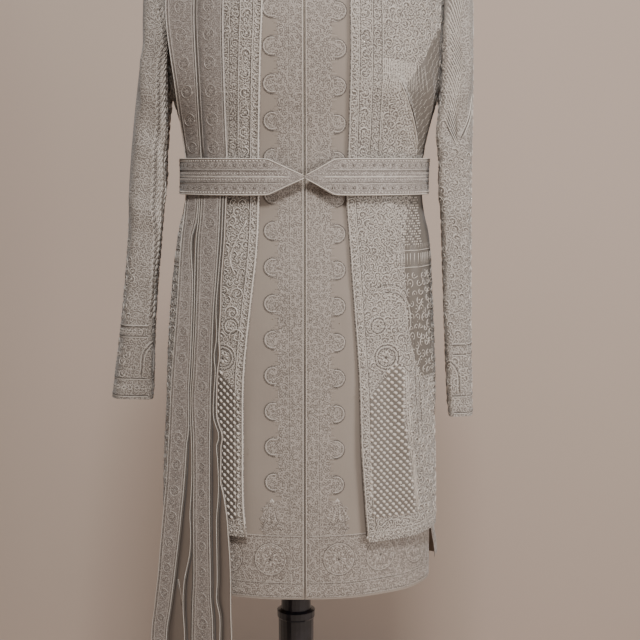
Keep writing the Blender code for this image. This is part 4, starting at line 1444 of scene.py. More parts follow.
# Painted shade: a dark patch down the left front's side, where it turns away under the sleeve
SIDE_SHADE_GROUND = (
    # height, near, far
    (0.780, 0.1800, 0.2150),
    (0.806, 0.1640, 0.2150),
    (0.850, 0.1500, 0.2150),
    (0.900, 0.1470, 0.2150),
    (0.935, 0.1440, 0.2150),
    (0.975, 0.1470, 0.2150),
    (1.010, 0.1540, 0.2150),
    (1.036, 0.1640, 0.2150),
)
BASKET = (
    # across, height: the outline of an outer front's basket work
    (0.129, 0.806),
    (0.091, 0.757),
    (0.0935, 0.588),
    (0.166, 0.588),
    (0.150, 0.670),
    (0.139, 0.730),
    (0.138, 0.790),
)
RIBBED = (
    # across, height: the outline of the left front's ribs and tuck
    (0.112, 1.222),
    (0.176, 1.222),
    (0.208, 1.264),
    (0.217, 1.264),
    (0.217, 1.090),
    (0.152, 1.098),
    (0.112, 1.170),
)
SPIRALS = (
    # across, height, radius: spirals worked on the outer right front
    (-0.093, 0.900, 0.0105),
    (-0.101, 0.874, 0.0115),
    (-0.094, 0.842, 0.0120),
)


def shaded_ground(name, place, side, table, silk, lift=GROUND_LIFT):
    """Close dark stitching: the ground behind basket work, and painted shade down in a fold and on the
    side.
    """
    z = np.linspace(table[0][0], table[-1][0], 56)
    near, far = (side * look_up(table, z, column) for column in (1, 2))
    return patch_between(name, place, z, near, far, 28, silk, lift)


def edge_bands(work, side, edge, foot):
    """The bands by an outer front's open edge: hooks all the way, florets above the belt."""
    upright(work, edge, foot, BANDS_TOP, 1.3, 0.7, away=0.0118)
    upright(work, edge, foot, BANDS_TOP, 1.3, 0.4, DEEP, away=0.0134)
    for z in np.arange(foot + 0.006, BANDS_TOP, 0.0122):
        work.lay(HOOK, (float(edge(z, 0.0062)), z), side=side)
    for away, shade in ((0.0300, PALE), (0.0316, DEEP), (0.0434, DEEP), (0.0450, PALE)):
        upright(work, edge, 1.09, BANDS_TOP, 1.2, 0.6, shade, away)
    for k, z in enumerate(np.arange(1.094, BANDS_TOP, 0.0130)):
        work.lay(FLORET if k % 2 else CURLS[k % 3], (float(edge(z, 0.0210)), z), 0.4 * k, 1.25, side)
    for k, z in enumerate(np.arange(1.090, BANDS_TOP, 0.0052)):
        low = float(edge(z, 0.0325 + 0.0015 * (k % 3)))
        work.ridge([(low, z), (low + side * 0.0085, z + 0.0004)], 1.3, 0.6, k % 2)


def basket_work(work, side):
    """Padded diamonds set like basket work, and the cords along three of its sides."""
    pitch = 0.0098
    for r in range(round(0.26 / (pitch / 2))):
        for c in range(24):
            a = (c + 0.5 * (r % 2)) * pitch
            z = 0.585 + r * pitch / 2
            if inside(BASKET, a, z):
                work.lay(DIAMOND if side > 0 else SLANTED_DIAMOND, (side * a, z))
    for (a0, z0), (a1, z1) in zip(BASKET[:2], BASKET[1:3]):
        work.ridge(mirrored([(a0 - 0.004, z0 + 0.002), (a1 - 0.004, z1)], side), 1.0, 0.6)
    for away in (0.004, 0.0072):
        border = [(a + away, z) for a, z in BASKET[:-5:-1]]
        border.append((BASKET[0][0] + away, BASKET[0][1] + 0.01))
        work.ridge(smooth_path(mirrored(border, side), 3), 1.3, 0.7)


def roundels(work, side):
    """Two roundels over the basket work, the arches round them and the cords beside them."""
    work.lay(ROSETTE_SMALL, (side * 0.103, 0.856))
    work.lay(ROSETTE_LARGE, (side * 0.115, 0.812), side=side)
    for k in range(4):
        arch = arc((0.118, 0.862), 0.028 + 0.0042 * k, -20, 112, 12, 1.25)
        work.ridge(mirrored(arch, side), 1.5, 0.8, k % 2)
    for away in (0.0, 0.012):
        path = [(0.158 + away, 0.862), (0.163 + away, 0.82), (0.162 + away, 0.76), (0.168 + away, 0.70)]
        work.ridge(mirrored(smooth_path(path, 4), side), 1.4, 0.7, DEEP)
        for z in np.arange(0.70, 0.86, 0.0075):
            work.knot((side * (0.1645 + away + (0.70 - z) * 0.03), z), 2.2, 0.8)


def hip_band(work, side):
    """The band of upright bars at the hip, between two level cords."""
    low, high = sorted((side * 0.122, side * FRONT_END))
    for height in (0.934, 0.9575):
        level_line(work, height, low, high, 1.7, 0.8)
    for a in np.arange(0.124, FRONT_END, 0.0068):
        gap = a + 0.0034
        work.ridge(mirrored([(a, 0.938), (a, 0.9535)], side), 3.0, 1.4)
        work.ridge(mirrored([(gap, 0.937), (gap, 0.9545)], side), 2.2, 0.3, DEEP)
        work.ridge(mirrored([(a, 0.9605), (a + 0.002, 0.9665)], side), 1.6, 0.7)


def ribs_and_tuck(work):
    """The left front's slanting ribs at the chest, the tuck beside them and a small net."""
    for k in range(26):
        a = 0.111 + 0.0026 * k
        rib = [(a, 1.220 - 0.0004 * k), (a + 0.0002 * k - 0.002, 1.196), (a + 0.0007 * k - 0.007, 1.172)]
        work.ridge(smooth_path(rib, 3), 1.2, 0.6, DEEP if k > 18 and k % 2 else PALE)
    # The tuck's stitches are mostly deep: painted shade where the cloth turns under the arm
    for r in range(36):
        for c in range(24):
            a = 0.112 + 0.0042 * c + 0.0021 * (r % 2)
            z = 1.252 - 0.0045 * r
            tucked = a > float(look_up(TUCK_SHADE_GROUND, z, 1)) + 0.002
            if inside(RIBBED, a, z) and (tucked or z < 1.172):
                pale = not tucked or (r + c) % (2 if a < 0.174 else 3) == 0
                lean = 0.0036 if tucked else -0.0008
                work.ridge([(a, z), (a + lean, z + 0.0040)], 2.2, 1.3, PALE if pale else DEEP)
    # The pale cord on the fold is a painted highlight, the deep line beside it painted shade
    fold = smooth_path([(0.128, 1.190), (0.137, 1.168), (0.152, 1.132), (0.164, 1.100)], 6)
    work.ridge(fold, 2.0, 1.4)
    work.ridge(fold + np.array([0.0026, 0.0010]), 3.2, 0.6, DEEP)
    # The net's petals are mostly deep: painted shade on the side below the arm
    for r in range(19):
        for c in range(13):
            a = 0.127 + 0.0041 * c + 0.00205 * (r % 2) + 0.0009 * (18 - r)
            z = 0.966 + 0.0036 * r
            if a < 0.182:
                work.petal((a, z), 3.8, 2.6, 0.7, 1.2, PALE if (r + c) % 4 else DEEP)


def stem_and_spirals(work):
    """The right front's stem with three spirals, and the knots by the stole."""
    stem = [(-0.080, 1.000), (-0.094, 0.975), (-0.104, 0.948), (-0.096, 0.925)]
    work.ridge(smooth_path(stem, 5), 1.7, 1.0)
    for a, z, radius in SPIRALS:
        work.ridge(arc((a, z), radius, 200, -250, 16, inner=0.0025), 1.8, 1.0)
        shadow = arc((a, z), radius - 0.0024, 200, -200, 12, inner=0.0020)
        work.ridge(shadow, 1.2, 0.3, DEEP)
    for a in (-0.0700, -0.0790):
        for z in np.arange(1.075, 1.400, 0.0060):
            work.knot((a - 0.001, z), 2.4, 0.9)


def taken(side, a, z, edge, keep_off):
    """Whether an outer front's other work leaves no room for a curl at a place."""
    band = 0.048 if z > 1.085 else 0.0155
    if a - abs(float(edge(z))) < band or a > 0.255 or abs(z - WAIST) < 0.024:
        return True
    if z > 1.40 and a > 0.15 or abs(z - 0.946) < 0.018 and a > 0.118:
        return True
    if any(inside(BASKET, a + shift, z) for shift in (0.0, -0.008, 0.006)):
        return True
    if side > 0 and (inside(RIBBED, a, z) or 0.964 < z < 1.036 and a > 0.126 + 0.25 * (1.032 - z)):
        return True
    return any(hypot(a - x, z - y) < radius for x, y, radius in keep_off)


def outer_front_stitching(side, hem):
    """An outer front's bands beside its open edge, its basket work, roundels and curls."""
    work = Needlework()
    edge = edge_at(side)
    foot = OUTER_HEM + hem + 0.014
    edge_bands(work, side, edge, foot)
    basket_work(work, side)
    roundels(work, side)
    hip_band(work, side)
    keep_off = [(0.103, 0.856, 0.015), (0.112, 0.815, 0.021)]
    if side > 0:
        ribs_and_tuck(work)
    else:
        stem_and_spirals(work)
        keep_off += [(-a, z, radius + 0.004) for a, z, radius in SPIRALS]
    sprinkle(work, side * 0.130, 0.055, 0.62, 1.42, 60, 71 + side)
    for a, z, pick in scattered(0.058, FRONT_END, foot + 0.012, BANDS_TOP - 0.02, 0.0140, 11 + side):
        if not taken(side, a, z, edge, keep_off):
            lay_curl(work, (side * a, z), pick, side=side)

    def lift(a):
        return 0.52 * (np.abs(a) - 0.085) ** 2

    low, high = sorted((float(edge(0.56)), side * FRONT_END))
    level_line(work, OUTER_HEM + hem + 0.0135, low, high, 1.0, 0.5, lift_at=lift)
    for a in np.arange(0.088, FRONT_END, 0.0080):
        at = (side * a, OUTER_HEM + hem + 0.0072 + lift(a))
        work.petal(at, 6.5, 2.6, pi / 2 - side * 0.5, 0.6)
    return work


def back_stitching():
    """The outer back's all-over curls and its hem border."""
    work = Needlework()

    def lift(a):
        share = np.where(a > 0, (a - 0.27) / 0.56, 1 - (-a - 0.27) / 0.56)
        return 0.010 + 0.014 * share

    for low_a, high_a in ((0.272, 0.560), (-0.560, -0.272)):
        for z in (OUTER_HEM + 0.0025, OUTER_HEM + 0.0135):
            level_line(work, z, low_a, high_a, 1.0, 0.5, lift_at=lift)
        for a in np.arange(low_a + 0.005, high_a - 0.003, 0.0095):
            at = (a, OUTER_HEM + 0.008 + float(lift(a)))
            work.petal(at, 6.5, 2.6, pi / 2 - 0.5, 0.6)
        for a, z, pick in scattered(low_a + 0.004, high_a - 0.004, OUTER_HEM + 0.042, 1.475, 0.0198, 5):
            end = float(AROUND.across_at(pi - 0.004, z))
            reach = 0.0
            if z > UNDERARM:
                reach = 0.035 * sqrt(max(0.0, 1 - ((z - 1.375) / 0.0875) ** 2))
            if 0.278 + 1.6 * reach <= abs(a) <= end and abs(z - WAIST) >= 0.026:
                lay_curl(work, (a, z), pick, 1.05)
    return work


def cuff_lines(foot, high_band, low_band):
    """A sleeve's level cords: height, width in millimetres, shade."""
    return (
        (high_band, 1.6, PALE),
        (high_band - 0.0018, 1.6, DEEP),
        (high_band - 0.0150, 1.6, DEEP),
        (high_band - 0.0168, 1.6, PALE),
        (low_band, 1.6, DEEP),
        (low_band - 0.0018, 1.6, PALE),
        (foot + 0.0040, 1.6, PALE),
        (foot + 0.0058, 1.6, DEEP),
    )


def cuff_arch(work, middle, high_band, low_band):
    """The arch between a sleeve's two bands, with a spray in it."""
    for inset, shade in ((0.0, PALE), (0.0022, DEEP), (0.0050, PALE)):
        half = 0.0165 - inset
        top = high_band - 0.025 - inset
        right = [(half, low_band + 0.003), (half, top - 0.020), (half * 0.75, top - 0.008)]
        shape = [(middle - a, z) for a, z in right] + [(middle, top + 0.002)]
        shape += [(middle + a, z) for a, z in right[::-1]]
        work.ridge(smooth_path(shape, 4), 1.6, 0.8, shade)
    work.lay(LONG_SPRAY, (middle, low_band + 0.004), size=1.1)


def slanting_strokes(work, foot):
    """The right sleeve's ridge of slanting strokes up the arm."""
    for z in np.arange(foot, 1.30, 0.0085):
        for k in range(6):
            a = 0.087 + 0.0044 * k
            stroke = smooth_path([(a, z), (a + 0.0034, z + 0.0045), (a + 0.0050, z + 0.0098)], 2)
            work.ridge(stroke, 1.8, 1.1, DEEP if k % 3 == 1 else PALE)


def feathered_lines(work):
    """The left sleeve's feathered lines and the stems over them."""
    for k in range(62):
        z = 1.375 - 0.0036 * k
        bend = [(-0.113, z), (-0.101, z - 0.015), (-0.090, z - 0.036), (-0.080, z - 0.062)]
        width, rise, shade = ((1.8, 0.9, PALE), (1.0, 0.3, DEEP))[k % 2]
        work.ridge(smooth_path(bend, 2), width, rise, shade)
    for k in range(3):
        a = 0.0022 * k
        stem = smooth_path([(-0.050 + a, 1.176), (-0.062 + a, 1.146), (-0.079 + a, 1.112)], 5)
        work.ridge(stem, 1.7, 1.1, k % 2)


def sleeve_stitching(side, table, bands):
    """A sleeve's bands round the cuff, the arch between them, its lines and its curls."""
    work = Needlework()
    foot = table[0][0]
    high_band, low_band = bands
    girth = 0.185
    middle = 0.099 if side < 0 else -0.086
    for height, width, shade in cuff_lines(foot, high_band, low_band):
        level_line(work, height, 0.0, girth * 2, width, 0.8, shade)
    for a in np.arange(0.0, girth * 2, 0.0100):
        work.lay(FLORET, (a, high_band - 0.0084), size=1.15)
        work.lay(FLORET, (a, (low_band + foot + 0.004) / 2), size=1.3)
    cuff_arch(work, middle, high_band, low_band)
    if side < 0:
        slanting_strokes(work, high_band + 0.010)
    else:
        feathered_lines(work)
    for a, z, pick in scattered(0.0, girth * 2, foot + 0.012, 1.36, 0.0154, 31 + side):
        across = (a + girth) % (2 * girth) - girth
        on_band = high_band - 0.022 < z < high_band + 0.006 or z < low_band + 0.006
        on_arch = z < high_band and abs(across - middle) < 0.022
        on_lines = z > 1.10 and -0.114 < across < -0.074 if side > 0 else 0.000 < across < 0.112
        if not (on_band or on_arch or on_lines or a > girth * 2 - 0.010):
            lay_curl(work, (a, z), pick)
    sprinkle(work, -side * 0.085, 0.035, foot + 0.03, 1.34, 24, 51 + side)
    return work


BELT_LINES = (
    # above the middle, width in millimetres, shade
    (0.0096, 1.4, PALE),
    (0.0080, 1.3, DEEP),
    (0.0, 3.6, PALE),
    (-0.0076, 1.3, DEEP),
    (-0.0092, 1.4, PALE),
)


def belt_stitching():
    """The belt's two rows of florets and the dotted lines between them."""
    work = Needlework()
    for side in (-1, 1):
        for a in np.arange(0.030, 0.535, 0.0136):
            for up in (0.0156, -0.0150):
                if abs(up) + 0.004 < float(belt_half_depth(np.float64(side * a))):
                    between = (side * (a + 0.0068), WAIST + up)
                    work.lay(FLORET, (side * a, WAIST + up), size=1.25)
                    for lean in (0.7, -0.7):
                        work.petal(between, 9.0, 3.2, lean, 0.9, DEEP)
                    work.knot(between, 2.4, 1.6)
        for up, width, shade in BELT_LINES:
            low, high = sorted((side * (0.016 + 1.1 * abs(up)), side * BELT_END))
            level_line(work, WAIST + up, low, high, width, 0.9, shade, step=0.012)
        for a in np.arange(0.020, 0.540, 0.0042):
            for up in (0.0044, -0.0040):
                work.knot((side * a, WAIST + up), 2.6, 1.4)
                work.knot((side * (a + 0.0021), WAIST + up), 2.8, 0.5, DEEP)
        for a in np.arange(0.052, 0.540, 0.0046):
            for up in (0.0215, -0.0215):
                work.knot((side * a, WAIST + up), 3.2, 1.3)
                work.knot((side * (a + 0.0023), WAIST + up * 0.99), 2.0, 0.3, DEEP)
        sprinkle(work, side * 0.20, 0.17, WAIST - 0.018, WAIST + 0.018, 12, 61 + side)
    return work


def belt_piping():
    """The rolled edge all round the belt."""
    work = Needlework()
    for side in (-1, 1):
        x = np.concatenate([np.linspace(0.0006, POINT_END, 22), np.linspace(0.075, BELT_END, 95)])
        half = np.where(x < 0.0712, belt_half_depth(side * x), BELT_SHAPE[-1][1]) - 0.0006
        for up in (-1, 1):
            work.ridge(np.stack([side * x, WAIST + up * half], axis=1), 1.8, 1.1)
    return work


def piping(across, low, high, width, rise, away=None):
    """The rolled satin edge of a front."""
    work = Needlework()
    upright(work, across, low, high, width, rise, away=away)
    return work


def stole_place(line_at, layer=2.0):
    """A rule that puts a place on a stole's top faces; across runs to the wearer's left."""

    def place(across, height, lift):
        x = -across
        normal = np.cross(line_at(x - NEARBY, height) - line_at(x + NEARBY, height), UPWARDS)
        normal /= np.linalg.norm(normal, axis=1, keepdims=True)
        reach = STOLE_WALL + (layer + 0.25) * STOLE_LAYER + lift + 0.0 * x
        return line_at(x, height) + normal * reach[:, None] + HANG

    return place


def stole_stitching(table, key, columns, low, high):
    """A stole face's medallions, the crosses between them and the lines by its folds."""
    work = Needlework()
    z = even(low, high, 0.015)
    for left, right in columns:
        outer = look_up(table, key(z), left)
        inner = look_up(table, key(z), right)
        for away, shade in ((0.0020, DEEP), (0.0036, PALE)):
            work.ridge(np.stack([-(outer - away), z], axis=1), 0.9, 0.3, shade)
            work.ridge(np.stack([-(inner + away), z], axis=1), 0.9, 0.3, shade)
        for k, height in enumerate(np.arange(low + 0.012, high - 0.010, 0.01875)):
            wide = np.interp(height, z, outer - inner)
            at = (-float(np.interp(height, z, (outer + inner) / 2)), height)
            size = min(1.0, (wide - 0.010) / 0.018)
            if size > 0.3:
                work.lay(STOLE_CROSS if k % 2 else STOLE_MEDALLION, at, size=size)
    return work


def stole_patch(name, place, left, right):
    """The close all-over stitching of one of the lower stole's faces, from fold to fold."""
    z = even(STOLE_HEM + 0.001, WAIST - 0.002, 0.009)
    outer = 0.0008 - look_up(STOLE_BELOW, z, left)
    inner = -0.0008 - look_up(STOLE_BELOW, z, right)
    return patch_between(name, place, z, outer, inner, 6, BORDER_SILK)


def stole_piping(rows):
    """Pale rolled edges along a stole's folds, and a deep line of painted shade in the gap beside each.
    """
    work = Needlework()
    for x, z, gap in rows:
        work.ridge(np.stack([-x, z], axis=1), 1.0, 0.7)
        if gap:
            work.ridge(np.stack([-(x + gap), z], axis=1), 2.4, 0.2, DEEP)
    return work


def stole_medallion():
    """An oval ring with eight dark leaves round a small flower."""
    work = Needlework(MM)
    work.ring(MIDDLE, 7.4, 0.8, 0.6, PALE, 1.15)
    for k in range(8):
        way = k * pi / 4
        at = (4.4 * cos(way), 4.9 * sin(way))
        work.petal(at, 3.8, 1.2, way, 0.6, DEEP)
    work.lay(flower(2.6, 6), MIDDLE)
    return work


def stole_cross():
    """Four leaves in a cross round a knot, with a knot over and under it."""
    work = Needlework(MM)
    for turn in range(4):
        way = turn * pi / 2
        work.petal(polar(4.2, way), 4.8, 1.3, way, 0.6, DEEP)
    for up, size in ((0.0, 2.2), (-8.2, 2.0), (8.2, 2.0)):
        work.knot((0.0, up), size, 0.6)
    return work


def diamond(length, width, turn):
    """One padded diamond of the basket work; its sizes are in millimetres."""
    work = Needlework(MM)
    work.petal((0.0, 0.3), length, width, turn, 2.2)
    return work


SCALLOP = scallop(SCALLOP_REACH / MM)
BORDER_UNIT = border_unit()
BROAD_SPRAY = leaf_spray(32.0, 4, 10.5)
SMALL_SPRAY = leaf_spray(9.0, 2, 5.0)
LONG_SPRAY = leaf_spray(30.0, 4, 6.0)
MEDALLION = medallion(24.0)
FLORET = flower(3.3, 6)
HOOK = hook()
CURLS = [curl(start) for start in (40.0, 200.0, 300.0)]
ROSETTE_SMALL = rosette(12.5, 3, 6)
ROSETTE_LARGE = rosette(19.0, 4, 8)
DIAMOND = diamond(8.4, 6.4, -0.5)
SLANTED_DIAMOND = diamond(8.6, 4.8, -1.0)
STOLE_MEDALLION = stole_medallion()
STOLE_CROSS = stole_cross()


STITCHES = [STITCHED_SILK, DEEP_SILK_AND_SHADE, SEQUIN_METAL]
CORDS = [COUCHED_CORD, DEEP_SILK_AND_SHADE, SEQUIN_METAL]
PIPING_AND_GAP_SHADE = [ROLLED_SATIN, DEEP_SILK_AND_SHADE]


# The pieces


def declare(node):
    """Hides the CAD part that a cloth piece stands for."""
    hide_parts(node)


def build_inner_coat():
    """The two fronts, the back and the stand collar of the inner coat."""
    heights = row_heights(INNER_HEM, INNER_NECK)
    satins = [COAT_SATIN, LINING_SATIN]
    on_front = layer_place(inner_front_out, INNER_CREASES)
    on_back = layer_place(inner_back_out, PLAIN)

    def front_lift(a):
        return 0.010 * (a / 0.27) ** 2

    def back_lift(a):
        return 0.021 * ((0.575 - np.abs(a)) / 0.31) ** 2

    def hem_band(name, end, place, low_a, high_a, lift_at, lined):
        a = even(low_a, high_a, 0.006)[None, :]
        z = np.linspace(INNER_HEM + 0.0025, HEM_BAND_TOP, 9)[:, None] + lift_at(a)
        close = name + "_hem_close_stitching" + end
        work = hem_stitching(low_a, high_a, lift_at, lined)
        return [
            packed_patch(close, place, a + 0.0 * z, z, PACKED_SILK),
            work.make(name + "_hem_band" + end, place, STITCHES, "coat_satin"),
        ]

    fronts = (
        # name, side, piping's width
        ("inner_front_left", 1, 1.2),
        ("inner_front_right", -1, 1.6),
    )
    for name, side, width in fronts:
        piece = coat_panel(
            name + "_satin", heights, inner_place(side), 40, inner_front_out,
            lambda share: 0.010 * share**2, INNER_CREASES, satins,
        )
        low_a, high_a = sorted((side * 0.0024, side * 0.245))
        lined = 0.0505 if side > 0 else -0.0505 - 3 * MEDALLION_PITCH
        edge = piping(side * 0.0024, INNER_HEM + 0.001, INNER_NECK - 0.003, width, 1.0)
        sewn = [
            front_patch(name + "_close_stitching", on_front, side),
            front_stitching(side).make(name + "_stitching", on_front, STITCHES, "coat_satin"),
            *hem_band(name, "", on_front, low_a, high_a, front_lift, lined),
            edge.make(name + "_piping", on_front, [ROLLED_SATIN], "coat_satin"),
        ]
        declare(name)
    back = coat_panel(
        "inner_back_satin", heights, inner_back_place, 76, inner_back_out,
        lambda share: 0.021 * (2 * share - 1) ** 2, PLAIN, satins,
    )
    sewn = []
    for end, low_a, high_a in (("_left", 0.262, 0.575), ("_right", -0.575, -0.262)):
        sewn += hem_band("inner_back", end, on_back, low_a, high_a, back_lift, low_a + 0.028)
    declare("inner_back")
    collar = coat_panel(
        "inner_collar_satin", even(INNER_NECK + SEAM, COLLAR_TOP, 0.005), collar_place, 90,
        even_layer(INNER_OUT), lambda share: 0.0 * share, PLAIN, satins,
    )
    declare("inner_collar")


def build_outer_coat():
    """The two open fronts and the back of the outer coat."""
    heights = row_heights(OUTER_HEM, OUTER_NECK)
    silks = [COVERED_SILK, LINING_SATIN]
    slot = "embroidered_silk"
    on_coat = layer_place(outer_out, OUTER_CREASES)
    fronts = (
        # name, side, hem's start, hem's rise, piping's foot and width, grounds
        ("outer_front_left", 1, 0.0, 0.010, 0.001, 1.8, (
            ("_basket_ground", BASKET_GROUND, GROUND_AND_SHADE_SILK, GROUND_LIFT),
            ("_tuck_shade", TUCK_SHADE_GROUND, GROUND_AND_SHADE_SILK, GROUND_LIFT),
            ("_side_shade", SIDE_SHADE_GROUND, GROUND_AND_SHADE_SILK, LOW_LIFT),
        )),
        ("outer_front_right", -1, 0.010, 0.014, 0.011, 2.6, (
            # The right front's basket ground is deep silk, darker than the left's: painted shade from
            # the stole
            ("_basket_ground", BASKET_GROUND, DEEP_SILK_AND_SHADE, GROUND_LIFT),
        )),
    )
    for name, side, start, rise, foot, width, grounds in fronts:
        piece = coat_panel(
            name + "_silk", heights, outer_place(side), 56, outer_out,
            lambda share, start=start, rise=rise: start + rise * share**2, OUTER_CREASES, silks,
        )
        edge = piping(edge_at(side), OUTER_HEM + foot, OUTER_NECK - 0.003, width, 1.4, 0.0013)
        sewn = [
            outer_front_stitching(side, start).make(name + "_stitching", on_coat, CORDS, slot),
            edge.make(name + "_piping", on_coat, [ROLLED_SATIN], slot),
        ]
        for ground, table, silk, lift in grounds:
            sewn.append(shaded_ground(name + ground, on_coat, side, table, silk, lift))
        declare(name)
    back = coat_panel(
        "outer_back_silk", heights, outer_back_place, 84, outer_out,
        lambda share: 0.010 + 0.014 * share, OUTER_CREASES, silks,
    )
    stitching = back_stitching().make("outer_back_stitching", on_coat, CORDS, slot)
    declare("outer_back")


def build_sleeve(name, side, table, bands):
    """A sleeve: a tube from the armhole to the cuff, softly creased at the elbow."""
    grid = sleeve_grid(side, table)
    turn = np.linspace(0.0, 2 * pi, grid.shape[1], endpoint=False)
    centre = grid.mean(axis=1, keepdims=True)
    normals = tube_normals(grid)
    moved = sleeve_creases(turn[None, :], centre[..., 2])
    moved *= blend(-1.36, -1.26, -grid[..., 2]) * blend(table[0][0], table[0][0] + 0.05, grid[..., 2])
    grid = grid + normals * moved[..., None]
    lining = grid - normals * SLEEVE_WALL
    inward = centre[0] - grid[0]
    lining[0] = grid[0] + inward / np.linalg.norm(inward, axis=1)[:, None] * SLEEVE_WALL
    measures = tube_measures(grid)
    piece = wall(name + "_silk", grid, lining, measures, [SLEEVE_SILK, LINING_SATIN], closed=True)
    work = sleeve_stitching(side, table, bands)
    place = grid_place(grid, measures, side)
    stitching = work.make(name + "_stitching", place, CORDS, "embroidered_silk")
    declare(name)


def belt_half_depth(x):
    """Half the belt's depth beside the centre front; its left end is the shorter one."""
    reach = (np.abs(x) - FRONT_OPENING / 2) * np.where(x > 0, 1.15, 0.95)
    return look_up(BELT_SHAPE, reach, 1)


def build_belt():
    """One strip round the waist; each end narrows to a point at centre front."""
    tips = angle_at_x(FRONT_OPENING / 2 + np.linspace(0.0, POINT_END, 22), WAIST, BELT_OUT)
    rest = np.linspace(tips[-1], 2 * pi - tips[-1], 150)[1:-1]
    turns = np.concatenate([tips, rest, 2 * pi - tips[::-1]])
    middle = on_body(turns, WAIST, BELT_OUT)
    pointed = belt_half_depth(middle[:, 0] - CENTRE_FRONT)
    depth = np.where(np.cos(turns) > 0, pointed, BELT_SHAPE[-1][1])
    share = np.linspace(-1.0, 1.0, 11)[:, None]
    z = WAIST + share * depth
    angle = turns[None, :] + 0.0 * z
    along = running(np.linalg.norm(np.diff(middle, axis=0), axis=1))
    measures = np.stack([along[None, :] + 0.0 * z, z], axis=-1)
    crown = BELT_CROWN * (1 - share**2) + 0.0 * z
    outer = on_body(angle, z, BELT_OUT + crown)
    inner = on_body(angle, z, BELT_OUT - BELT_WALL + 0.0 * z)
    piece = wall("belt_silk", outer, inner, measures, [BORDER_SILK])
    on_belt = layer_place(belt_out, PLAIN)
    sewn = [
        belt_stitching().make("belt_stitching", on_belt, CORDS, "belt_silk"),
        belt_piping().make("belt_piping", on_belt, [ROLLED_SATIN], "belt_silk"),
    ]
    declare("belt")


def stole_row(table, key, columns, steps, rule, along):
    """A row of a pleated wall: its path across, its line and the stole's direction there."""
    edges = [float(look_up(table, key, column)) for column in columns]
    return pleat_path(edges, steps), rule, along


def fold_lines(table, keys, heights, gaps):
    """Where a stole's folds run, with the gap beside each, by its column."""
    return [(look_up(table, keys, column) + 0.0004, heights, gap) for column, gap in gaps]


def finish_stole(name, work, place, folds_at, faces):
    edge = stole_piping(folds_at)
    sewn = [
        work.make(name + "_stitching", place, STITCHES, "stole_silk"),
        edge.make(name + "_piping", stole_place(stole_front), PIPING_AND_GAP_SHADE, "stole_silk"),
    ]
    for end, (left, right) in zip("ab", faces):
        sewn.append(stole_patch(f"{name}_face_{end}", stole_place(stole_front), left, right))
    declare(name)


def build_lower_stole():
    """The part that hangs from the belt in front, in six pleats."""
    heights = even(STOLE_HEM, WAIST - SEAM / 2, 0.009)
    rows = []
    for z in heights:
        rule = lambda x, z=z: stole_front(x, z)
        rows.append(stole_row(STOLE_BELOW, z, range(1, 8), 5, rule, UPWARDS))
    outer, inner, measures = fold_rows(rows)
    piece = wall("stole_lower_satin", outer, inner, measures, [STOLE_SATIN_DARKENED])
    faces = ((1, 2), (4, 5))
    work = stole_stitching(STOLE_BELOW, lambda z: z, faces, STOLE_HEM + 0.004, WAIST - 0.026)
    # Where a gap is given, a deep line of painted shade lies beside the fold
    gaps = ((1, 0.0), (2, -0.0018), (3, -0.0017), (4, 0.0018), (5, -0.0020), (6, -0.0018), (7, 0.0))
    folds_at = fold_lines(STOLE_BELOW, heights, heights, gaps)
    folds_at.append((np.array([0.1775, 0.1715]), np.array([0.494, 0.456]), 0.0020))
    place = stole_place(stole_front, 2.2)
    finish_stole("stole_lower", work, place, folds_at, faces)


def build_upper_stole():
    """The part that goes up from the belt, over the right shoulder and down the back."""
    columns = range(2, 5)
    rows = []
    for key in even(0.0, 2.85, 0.075):
        z = max(WAIST + SEAM / 2, float(look_up(STOLE_ABOVE, key, 1)))
        rule = lambda x, z=z: stole_front(x, z)
        rows.append(stole_row(STOLE_ABOVE, key, columns, 6, rule, UPWARDS))
    for turn in np.radians(even(-80, 80, 8)):
        rule = lambda x, turn=float(turn): stole_shoulder(x, turn)
        along = np.array([0.0, cos(turn), -sin(turn)])
        rows.append(stole_row(STOLE_ABOVE, 3.0 + blend(-1.5, 0.0, turn), columns, 6, rule, along))
    for z in (SHOULDER_BLADE, STOLE_BACK_END):
        rule = lambda x, z=z: stole_back(x, z)
        rows.append(stole_row(STOLE_ABOVE, 4.0, columns, 6, rule, -UPWARDS))
    outer, inner, measures = fold_rows(rows)
    piece = wall("stole_upper_satin", outer, inner, measures, [BORDER_SILK])

    def along_of(z):
        fine = np.linspace(0.0, 4.0, 81)
        return np.interp(z, look_up(STOLE_ABOVE, fine, 1), fine)

    work = stole_stitching(STOLE_ABOVE, along_of, ((2, 3), (3, 4)), WAIST + 0.028, SHOULDER_BLADE)
    rise = even(WAIST + 0.001, 1.388, 0.010)
    folds_at = fold_lines(STOLE_ABOVE, along_of(rise), rise, ((2, 0.0), (3, -0.0018), (4, 0.0)))
    place = stole_place(stole_front)
    finish_stole("stole_upper", work, place, folds_at, ())


def build_form():
    """The padded torso under its linen cover, round at the foot."""
    foot = FORM_FOOT + 0.014 * (1 - np.cos(np.linspace(0, pi / 2, 5)))
    heights = np.concatenate([foot, even(0.82, FORM_NECK_TOP, 0.010)])
    count = 96
    turn = np.linspace(0.0, 2 * pi, count, endpoint=False)
    drawn_in = -0.012 * (1.0 - blend(FORM_FOOT - 0.01, FORM_FOOT + 0.04, heights))
    points = np.concatenate([ring_points(turn, z, FORM_OUT + out) for z, out in zip(heights, drawn_in)])
    faces = []
    for low in range(0, (len(heights) - 1) * count, count):
        for c in range(count):
            n = (c + 1) % count
            faces.append([low + c, low + n, low + count + n, low + count + c])
    faces.append(list(range(count))[::-1])
    faces.append(list(range(len(points) - count, len(points))))
    made = new_object("form_linen_cover", points, faces, [FORM_LINEN])
    made.data.set_sharp_from_angle(angle=RIM_ANGLE)
    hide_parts("form_torso")


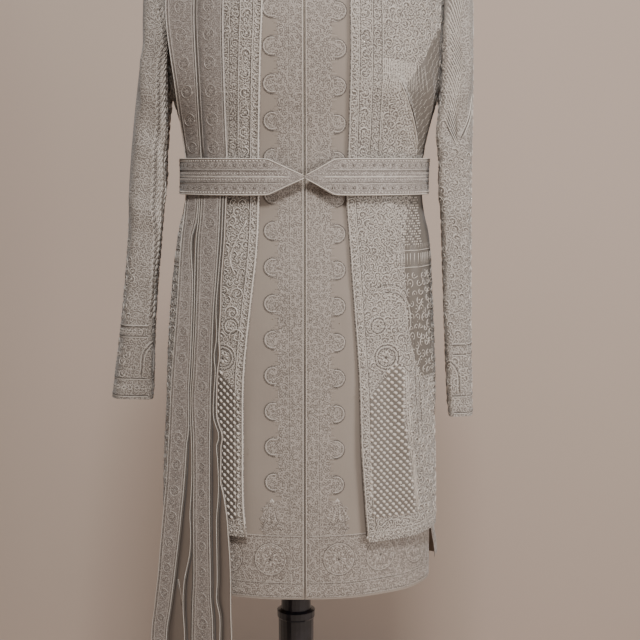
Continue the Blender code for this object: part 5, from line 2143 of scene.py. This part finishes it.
def finish_stand():
    """The turned stand keeps its solids and is lacquered black."""
    for name in ("form_neck_cap", "stand_pole", "stand_base"):
        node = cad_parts[name]
        node.data.materials.clear()
        node.data.materials.append(BLACK_LACQUER)


# The studio


LAMPS = (
    # name, place, aim, size, power
    ("key", (0.15, -2.3, 3.5), (0.0, 0.0, 0.9), 0.55, 95),
    ("fill", (2.2, -1.5, 1.3), (0.0, 0.0, 0.9), 0.9, 38),
    ("top", (0.2, -0.9, 2.9), (0.1, 0.0, 0.9), 0.8, 8),
)


def studio_sheet(name, size, place, turn, paper):
    """A square sheet of the studio's paper."""
    bpy.ops.mesh.primitive_plane_add(size=size, location=place, rotation=(turn, 0.0, 0.0))
    sheet = bpy.context.object
    sheet.name = name
    sheet.data.materials.append(paper)
    return sheet


def build_studio():
    """Pale floor and wall, soft lights from above and the camera."""
    scene = bpy.context.scene
    paper = matt_paper("matt seamless paper", "#c8b4a5", "#c1ad9e")
    bpy.ops.object.select_all(action="DESELECT")
    floor = studio_sheet("studio_floor", 8.0, (0.0, 0.0, 0.0), 0.0, paper)
    backdrop = studio_sheet("studio_wall", 1.6, (0.035, 0.95, 0.8), pi / 2, paper)
    for name, place, aim, size, power in LAMPS:
        light = bpy.data.lights.new(name, "AREA")
        light.size = size
        light.energy = power
        lamp = bpy.data.objects.new(name, light)
        lamp.location = place
        lamp.rotation_euler = (Vector(aim) - Vector(place)).to_track_quat("-Z", "Y").to_euler()
        scene.collection.objects.link(lamp)
    scene.world = bpy.data.worlds.new("studio")
    scene.world.use_nodes = True
    sky = scene.world.node_tree.nodes["Background"]
    wire(sky, {"Color": linear("#e9e6e4"), "Strength": 0.12})
    lens = bpy.data.cameras.new("camera")
    lens.sensor_width = 36.0
    lens.lens = 73.125
    camera = bpy.data.objects.new("camera", lens)
    camera.location = (0.0359, -1.890, 1.078)
    camera.rotation_euler = (radians(90 - 6.8637), 0.0, 0.0)
    scene.collection.objects.link(camera)
    scene.camera = camera


build_inner_coat()
build_outer_coat()
build_sleeve("sleeve_left", 1, SLEEVE_LEFT, (0.823, 0.748))
build_sleeve("sleeve_right", -1, SLEEVE_RIGHT, (0.850, 0.774))
build_belt()
build_lower_stole()
build_upper_stole()
build_form()
finish_stand()
build_studio()
